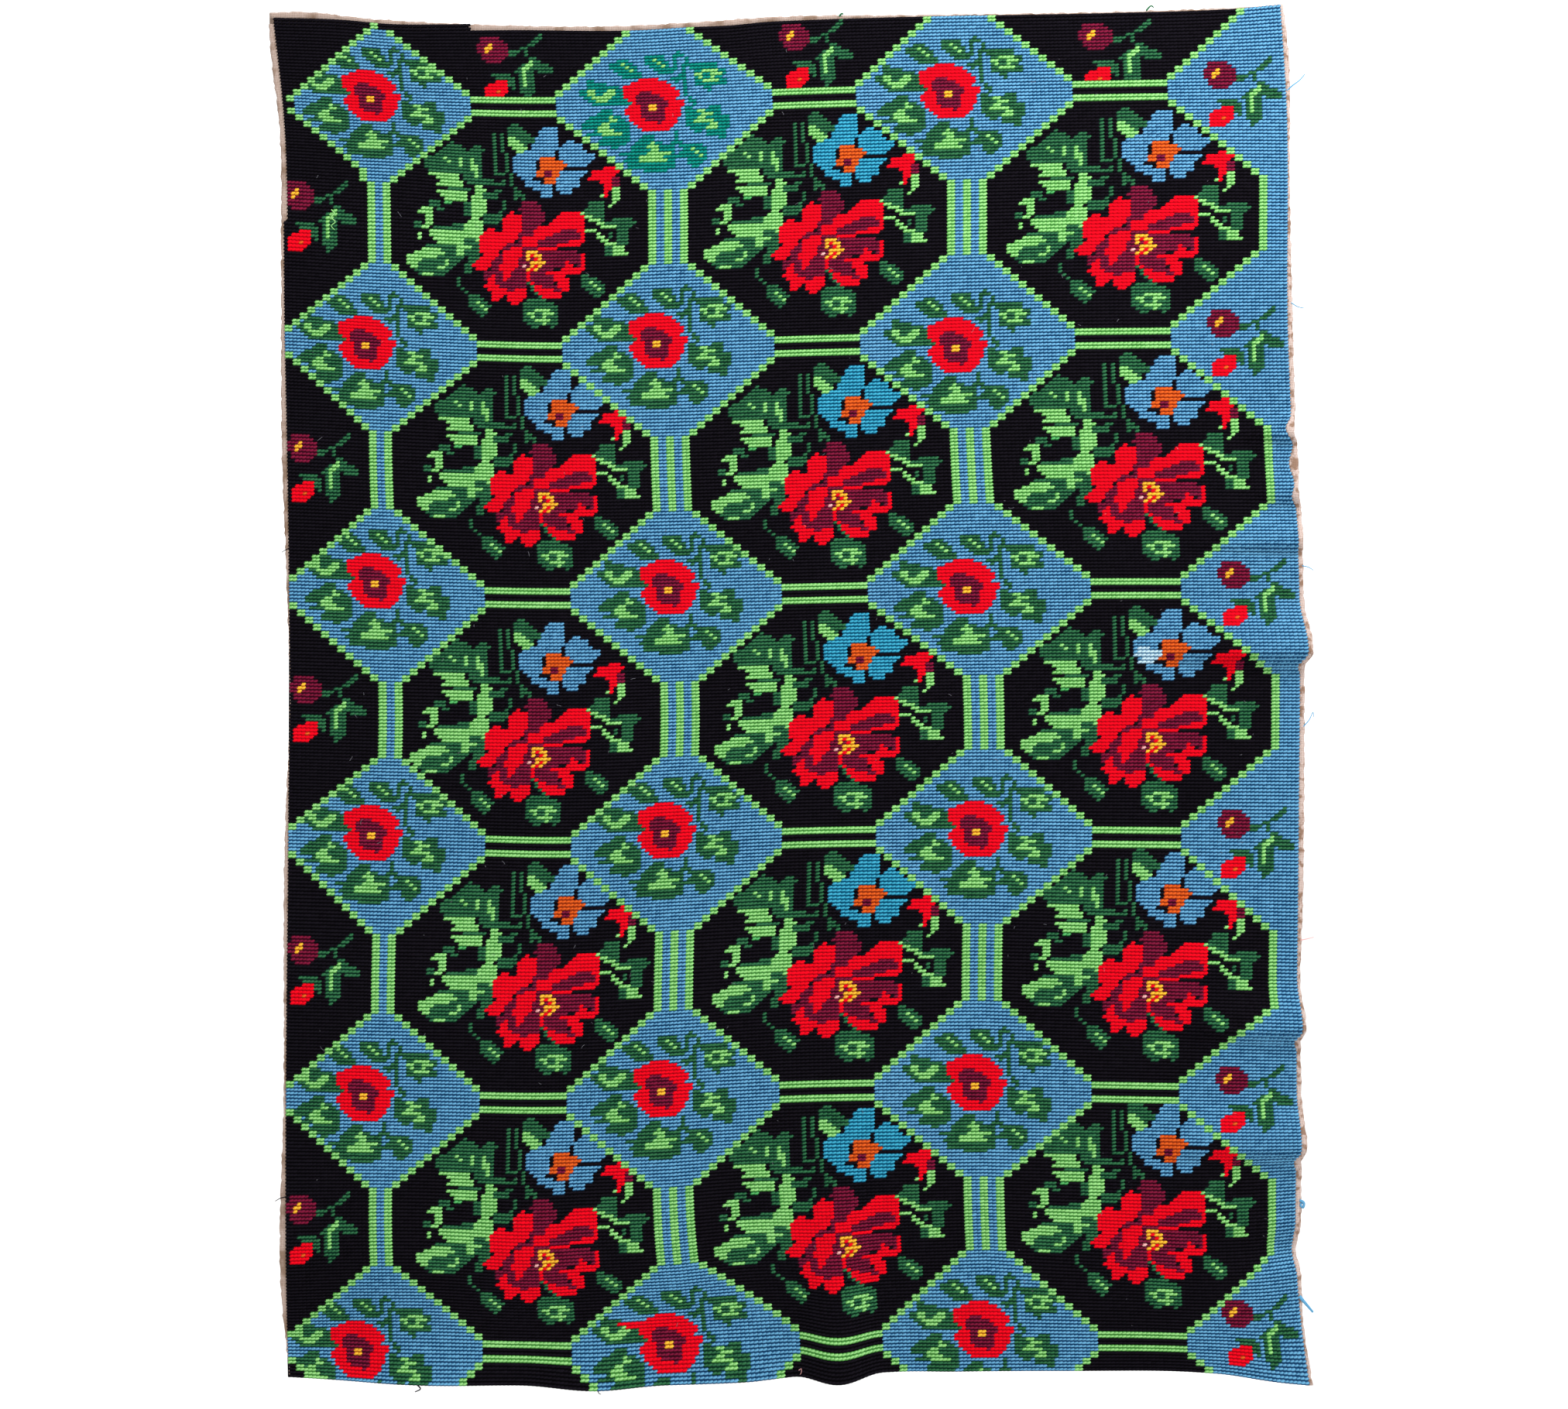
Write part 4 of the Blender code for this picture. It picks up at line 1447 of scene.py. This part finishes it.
@dataclass
class EdgeFluff:
    """Short cotton fibres that stand out along the cut edges of the canvas."""

    lattice: StitchLattice
    count: int = 3600
    length: Range = (1.0, 3.2)
    width: float = 0.25
    rooted: float = 1.0
    turn_spread: float = 0.75
    lean_spread: float = 1.0
    out: Range = (-1.2, 0.6)
    left_run: Range = (0.0, 1750.0)  # down
    right_run: Range = (-8.0, 1755.0)  # down
    top_run: Range = (-650.0, 650.0)  # across
    seed: int = 5
    top_gaps: Table = ((-480.0, -395.0), (20.0, 560.0))  # across, where the wool reaches the top edge
    finish: CanvasFinish = CanvasFinish("canvas_fluff", (196, 182, 172), (150, 128, 112), (120, 100, 86))

    def build(self) -> bpy.types.Object:
        """Build the fibres as one mesh of slim three-cornered blades.

        Returns:
            The piece.
        """
        cloth = self.lattice.cloth
        random = np.random.default_rng(self.seed)
        share = self.count // 3
        down_left = random.uniform(*self.left_run, share)
        down_right = random.uniform(*self.right_run, share)
        across_top = random.uniform(*self.top_run, share)
        for start, end in self.top_gaps:
            across_top = across_top[(across_top < start) | (across_top > end)]
        across_left = smooth_edge(cloth.left_edge, down_left) + self.rooted
        across_right = smooth_edge(cloth.right_edge, down_right) - self.rooted
        across = np.concatenate((across_left, across_right, across_top))
        down = np.concatenate((down_left, down_right, smooth_edge(cloth.top_edge, across_top) + self.rooted))
        straight = np.repeat((math.pi, 0.0, -math.pi / 2), (share, share, len(across_top)))
        turn = straight + random.normal(0.0, self.turn_spread, len(across))
        length = random.uniform(*self.length, len(across))
        out = random.uniform(*self.out, len(across))
        lean = random.normal(0.0, self.lean_spread, len(across))
        half = self.width / 2.0
        root = cloth.place(across, down, out)
        side = np.stack((-np.sin(turn), np.zeros_like(turn), -np.cos(turn)), axis=-1) * half * MM
        way = np.stack((np.cos(turn), np.zeros_like(turn), -np.sin(turn)), axis=-1)
        tip = root + way * length[:, None] * MM
        tip[:, 1] += lean * MM
        points = np.stack((root - side, root + side, tip), axis=1).reshape(-1, 3)
        faces = np.arange(len(points)).reshape(-1, 3)
        piece = new_piece("edge_fluff", points, [faces], [self.finish.material()])
        point_map(piece, "threads", points[:, [0, 2]] / MM / THREAD)
        LOG.info("edge_fluff: %d fibres", len(across))
        return piece


@dataclass(frozen=True)
class LooseEnd:
    """A loose end of yarn: its colour, its course over the cloth and its radius."""

    yarn: Yarn
    course: Table  # across, down, out
    radius: float


@dataclass
class LooseEnds:
    """The yarn ends that hang out at the edges or lie on the wool."""

    lattice: StitchLattice
    ends: tuple[LooseEnd, ...] = (
        LooseEnd(Yarn.BLACK, ((-624.0, 686.0, 0.5), (-630.0, 689.0, 1.5), (-635.0, 692.0, 0.5)), 0.7),
        LooseEnd(Yarn.BLACK, ((-628.0, 1522.0, 0.5), (-636.0, 1524.0, 2.0), (-643.0, 1528.0, 0.0)), 0.7),
        LooseEnd(Yarn.DARK_GREEN, ((84.0, -1.0, 1.0), (87.0, -4.0, 2.5), (89.0, -3.0, 2.0)), 1.4),
        LooseEnd(Yarn.DARK_GREEN, ((480.0, -8.0, 1.0), (486.0, -14.0, 2.0), (490.0, -12.0, 1.0)), 1.2),
        LooseEnd(Yarn.BLACK, ((-461.0, 1764.0, 0.0), (-456.0, 1770.0, 1.0), (-463.0, 1774.0, 0.5)), 1.1),
        LooseEnd(Yarn.BLACK, ((-228.0, 1766.0, 0.0), (-226.0, 1771.0, 1.0), (-223.0, 1773.0, 0.5)), 0.7),
        LooseEnd(Yarn.BLUE, ((662.0, 95.0, 0.5), (670.0, 88.0, 2.0), (678.0, 82.0, 1.0),
                             (685.0, 74.0, 0.0)), 1.0),
        LooseEnd(Yarn.BLUE, ((665.0, 369.0, 0.5), (674.0, 375.0, 1.5), (683.0, 377.0, 0.0)), 0.8),
        LooseEnd(Yarn.BLUE, ((680.0, 709.0, 0.5), (688.0, 711.0, 1.5), (695.0, 715.0, 0.0)), 0.8),
        LooseEnd(Yarn.BLUE, ((681.0, 917.0, 0.5), (689.0, 908.0, 1.5), (694.0, 898.0, 0.5),
                             (695.0, 904.0, 0.0)), 0.8),
        LooseEnd(Yarn.PINK, ((677.0, 1192.0, 0.5), (686.0, 1190.0, 1.5), (695.0, 1188.0, 0.0)), 0.7),
        LooseEnd(Yarn.BLUE, ((677.0, 1527.0, 1.0), (682.0, 1530.0, 2.5), (681.0, 1536.0, 3.0),
                             (678.0, 1533.0, 2.0), (680.0, 1530.0, 1.0)), 2.0),
        LooseEnd(Yarn.BLUE, ((676.0, 1650.0, 1.0), (682.0, 1657.0, 2.0), (688.0, 1664.0, 1.5),
                             (694.0, 1671.0, 0.5)), 2.4),
        LooseEnd(Yarn.PINK, ((33.0, 1746.0, 3.0), (37.0, 1743.0, 4.0), (37.0, 1748.0, 4.0),
                             (35.0, 1751.0, 3.5)), 0.4),
        LooseEnd(Yarn.LIME, ((-571.0, 250.0, 3.5), (-567.0, 255.0, 4.5), (-571.0, 260.0, 4.0),
                             (-566.0, 266.0, 4.5), (-571.0, 271.0, 4.0), (-567.0, 276.0, 3.5)), 0.8),
    )
    around: int = 6  # points round the yarn
    between: int = 5  # rings from one place of a course to the next
    shade: float = 0.75
    taper: float = 0.6

    def build(self) -> list[bpy.types.Object]:
        """Build the ends as round yarns, one mesh for each colour.

        Returns:
            The pieces.
        """
        pieces = []
        for yarn in sorted({end.yarn for end in self.ends}):
            points = []
            faces = []
            for end in self.ends:
                if end.yarn is yarn:
                    ring_points, ring_faces = self.tube(end)
                    faces.append(ring_faces + sum(len(part) for part in points))
                    points.append(ring_points)
            along = np.concatenate([np.arange(len(part)) for part in points]) / (self.around * 2.0)
            piece = new_piece(
                f"loose_ends_{yarn.name.lower()}", np.concatenate(points), [np.concatenate(faces)],
                [WOOLS[yarn].material()],
            )
            point_map(piece, "yarn", np.stack((along, along), axis=-1))
            point_values(piece, "shade", np.full(len(along), self.shade))
            pieces.append(piece)
        LOG.info("loose ends: %d", len(self.ends))
        return pieces

    def tube(self, end: LooseEnd) -> tuple[np.ndarray, np.ndarray]:
        """Sweep a ring along a smooth course: each ring stands square to the course at its place.

        Args:
            end: the loose end.

        Returns:
            The points, and the four-cornered faces.
        """
        course = np.array(end.course)
        knots = np.arange(len(course), dtype=float)
        steps = np.linspace(0.0, knots[-1], (len(course) - 1) * self.between + 1)
        smooth = smooth_rows(knots, course, steps)
        centre = self.lattice.cloth.place(smooth[:, 0], smooth[:, 1], smooth[:, 2])
        way = np.gradient(centre, axis=0)
        way /= np.linalg.norm(way, axis=1, keepdims=True)
        side = np.cross(way, (0.0, 1.0, 0.0))
        side /= np.linalg.norm(side, axis=1, keepdims=True)
        up = np.cross(side, way)
        turn = np.linspace(0.0, math.tau, self.around, endpoint=False)
        radius = end.radius * MM * np.linspace(1.0, self.taper, len(steps))[:, None, None]
        ring = np.cos(turn)[None, :, None] * side[:, None] + np.sin(turn)[None, :, None] * up[:, None]
        points = centre[:, None] + radius * ring
        first = np.arange(len(steps) - 1)[:, None] * self.around
        corner = first + np.arange(self.around)
        after = first + (np.arange(self.around) + 1) % self.around
        faces = np.stack((corner, after, after + self.around, corner + self.around), axis=-1)
        return points.reshape(-1, 3), faces.reshape(-1, 4)


@dataclass
class Lint:
    """Pale hairs and specks of lint lying on the wool, most of them seen on the black."""

    lattice: StitchLattice
    count: int = 260
    across: Range = (-610.0, 640.0)
    down: Range = (30.0, 1735.0)
    length: Range = (1.5, 9.0)
    shortening: Range = (0.3, 1.0)
    bend: float = 0.7
    places: int = 4
    width: float = 0.28
    lift: float = 2.9
    seed: int = 23
    finish: CanvasFinish = CanvasFinish("lint", (150, 150, 158), (96, 96, 104), (70, 70, 78))

    def build(self) -> bpy.types.Object:
        """Build the hairs: bent ribbons of three steps each.

        Returns:
            The piece.
        """
        random = np.random.default_rng(self.seed)
        across = random.uniform(*self.across, self.count)
        down = random.uniform(*self.down, self.count)
        length = random.uniform(*self.length, self.count) * random.uniform(*self.shortening, self.count)
        turn = random.uniform(0.0, math.tau, self.count)
        bend = random.normal(0.0, self.bend, self.count)
        angle = turn[:, None] + bend[:, None] * np.linspace(0.0, 1.0, self.places)[None]
        step_length = length[:, None] / (self.places - 1)
        course_across = across[:, None] + np.cumsum(np.cos(angle) * step_length, axis=1)
        course_down = down[:, None] + np.cumsum(np.sin(angle) * step_length, axis=1)
        side = np.array((-0.5, 0.5)) * self.width
        points = self.lattice.cloth.place(
            course_across[..., None] - np.sin(angle)[..., None] * side,
            course_down[..., None] + np.cos(angle)[..., None] * side,
            np.full((*angle.shape, len(side)), self.lift),
        ).reshape(-1, 3)
        hairs = np.arange(self.count)[:, None] * self.places
        first = 2 * (hairs + np.arange(self.places - 1)[None])
        faces = np.stack((first, first + 1, first + 3, first + 2), axis=-1).reshape(-1, 4)
        piece = new_piece("lint", points, [faces], [self.finish.material()])
        point_map(piece, "threads", points[:, [0, 2]] / MM)
        LOG.info("lint: %d hairs", self.count)
        return piece


@dataclass
class BackRuns:
    """The yarn's runs on the back: strips of one colour, one row high and at most a few stitches long."""

    lattice: StitchLattice
    grid: np.ndarray
    longest: int = 3
    lift: float = -1.4
    finish: BackFinish = BackFinish()

    def build(self) -> bpy.types.Object:
        """Build the strips: a run starts where the yarn changes, or where the run before is full.

        Returns:
            The piece.
        """
        grid = self.grid
        columns = np.arange(grid.shape[1] + 1)[None]
        changes = np.ones(grid.shape, dtype=bool)
        changes[:, 1:] = grid[:, 1:] != grid[:, :-1]
        yarn_start = np.maximum.accumulate(np.where(changes, columns[:, :-1], 0), axis=1)
        breaks = (columns[:, :-1] - yarn_start) % self.longest == 0
        row, first = np.nonzero(breaks & (grid != Yarn.BARE))
        ends = np.pad(breaks, ((0, 0), (0, 1)), constant_values=True)
        next_end = np.minimum.accumulate(np.where(ends, columns, grid.shape[1])[:, ::-1], axis=1)[:, ::-1]
        last = next_end[row, first + 1]
        across, down = self.lattice.threads()
        points = self.lattice.cloth.place(across, down, np.full_like(across, self.lift))
        corner_row = np.stack((row, row, row + 1, row + 1), axis=1)
        corner_column = np.stack((first, last, last, first), axis=1)
        corners = points[corner_row, corner_column].reshape(-1, 3)
        faces = np.arange(len(corners)).reshape(-1, 4)
        piece = new_piece("stitch_backs", corners, [faces], [self.finish.material()])
        dyes = np.array([self.dye(yarn) if yarn in WOOLS else (0.0, 0.0, 0.0, 1.0) for yarn in Yarn])
        colours = np.repeat(dyes[grid[row, first]], 4, axis=0)
        attribute = piece.data.color_attributes.new("dye", "FLOAT_COLOR", "POINT")
        attribute.data.foreach_set("color", colours.astype(np.float32).ravel())
        places = np.stack((corner_column, corner_row), axis=-1).reshape(-1, 2).astype(float)
        point_map(piece, "stitches", places)
        point_map(piece, "OFBake", places / np.array(grid.shape[::-1]))
        LOG.info("stitch_backs: %d runs", len(row))
        return piece

    @staticmethod
    def dye(yarn: Yarn) -> np.ndarray:
        """Give the middle colour of a yarn."""
        wool = WOOLS[yarn]
        return (np.array(linear(wool.light)) + np.array(linear(wool.dark))) * 0.5


@dataclass
class Studio:
    """The pale floor, the soft light and the camera at the photo's angle."""

    image_width: float = 2.025
    image_middle_across: float = 0.0125
    image_middle_down: float = 0.888
    lens: float = 85.0
    sensor: float = 36.0
    far: float = 100.0
    floor_down: float = 1.90
    floor_size: float = 40.0
    floor_shades: Range = (0.645, 0.665)
    floor_roughness: float = 0.9
    patch_scale: float = 0.8
    room_light: float = 1.58
    lit_place: Place = (0.0, 0.0, -0.8)  # near the middle of the panel
    lamps: tuple[tuple[str, Place, float, float], ...] = (  # name, place, side, watts
        ("key", (1.0, -1.3, 1.2), 0.7, 46.0),
        ("back", (0.6, 1.8, 1.2), 1.5, 50.0),
    )

    def floor(self) -> None:
        """Lay the plain pale floor a little below the hem."""
        half = self.floor_size / 2.0
        mesh = bpy.data.meshes.new("floor")
        corners = [(x * half, y * half, -self.floor_down) for x, y in ((-1, -1), (1, -1), (1, 1), (-1, 1))]
        mesh.from_pydata(corners, [], [(0, 1, 2, 3)])
        nodes = Nodes("pale_floor")
        place = nodes.add("TexCoord").outputs["Object"]
        dark, light = [(shade, shade, shade, 1.0) for shade in self.floor_shades]
        colour = nodes.blend(nodes.noise(place, self.patch_scale), dark, light)
        mesh.materials.append(nodes.finish({"Base Color": colour, "Roughness": self.floor_roughness}))
        floor = bpy.data.objects.new("floor", mesh)
        bpy.context.scene.collection.objects.link(floor)

    def light(self, name: str, place: Place, size: float, power: float) -> None:
        """Hang a soft square light that faces the middle of the panel.

        Args:
            name: its name.
            place: where it hangs.
            size: its side in metres.
            power: its power in watts.
        """
        lamp = bpy.data.lights.new(name, "AREA")
        lamp.shape = "SQUARE"
        lamp.size = size
        lamp.energy = power
        item = bpy.data.objects.new(name, lamp)
        item.location = place
        way = np.array(self.lit_place) - np.array(place)
        flat = math.hypot(way[0], way[1])
        item.rotation_euler = (math.atan2(flat, -way[2]), 0.0, math.atan2(way[1], way[0]) - math.pi / 2.0)
        bpy.context.scene.collection.objects.link(item)

    def camera(self) -> None:
        """Stand the camera square in front of the hanging."""
        data = bpy.data.cameras.new("camera")
        data.lens = self.lens
        data.sensor_width = self.sensor
        data.clip_end = self.far
        item = bpy.data.objects.new("camera", data)
        distance = self.image_width * self.lens / self.sensor
        item.location = (self.image_middle_across, -distance, -self.image_middle_down)
        item.rotation_euler = (math.pi / 2.0, 0.0, 0.0)
        bpy.context.scene.collection.objects.link(item)
        bpy.context.scene.camera = item

    def world(self) -> None:
        """Fill the room with plain white light."""
        world = bpy.data.worlds.new("white_room")
        world.use_nodes = True
        back = world.node_tree.nodes["Background"]
        back.inputs[0].default_value = (1.0, 1.0, 1.0, 1.0)
        back.inputs[1].default_value = self.room_light
        bpy.context.scene.world = world
        bpy.context.scene.view_settings.view_transform = "Standard"

    def build(self) -> None:
        """Set up the whole studio."""
        self.floor()
        self.world()
        for lamp in self.lamps:
            self.light(*lamp)
        self.camera()


def main() -> None:
    lattice = StitchLattice()
    grid = Chart(lattice).stitch()
    canvas = Canvas(lattice).build()
    stitches = StitchedFace(lattice, grid).build()
    backs = BackRuns(lattice, grid).build()
    margins = Margins(lattice, grid).build()
    fluff = EdgeFluff(lattice).build()
    lint = Lint(lattice).build()
    loose = [*margins, fluff, lint, *LooseEnds(lattice).build()]
    Studio().build()
    triangles = sum(len(p.data.loops) - 2 * len(p.data.polygons) for p in (canvas, backs, *stitches, *loose))
    LOG.info("triangles before thickness: %d", triangles)


if __name__ == "__main__":
    main()
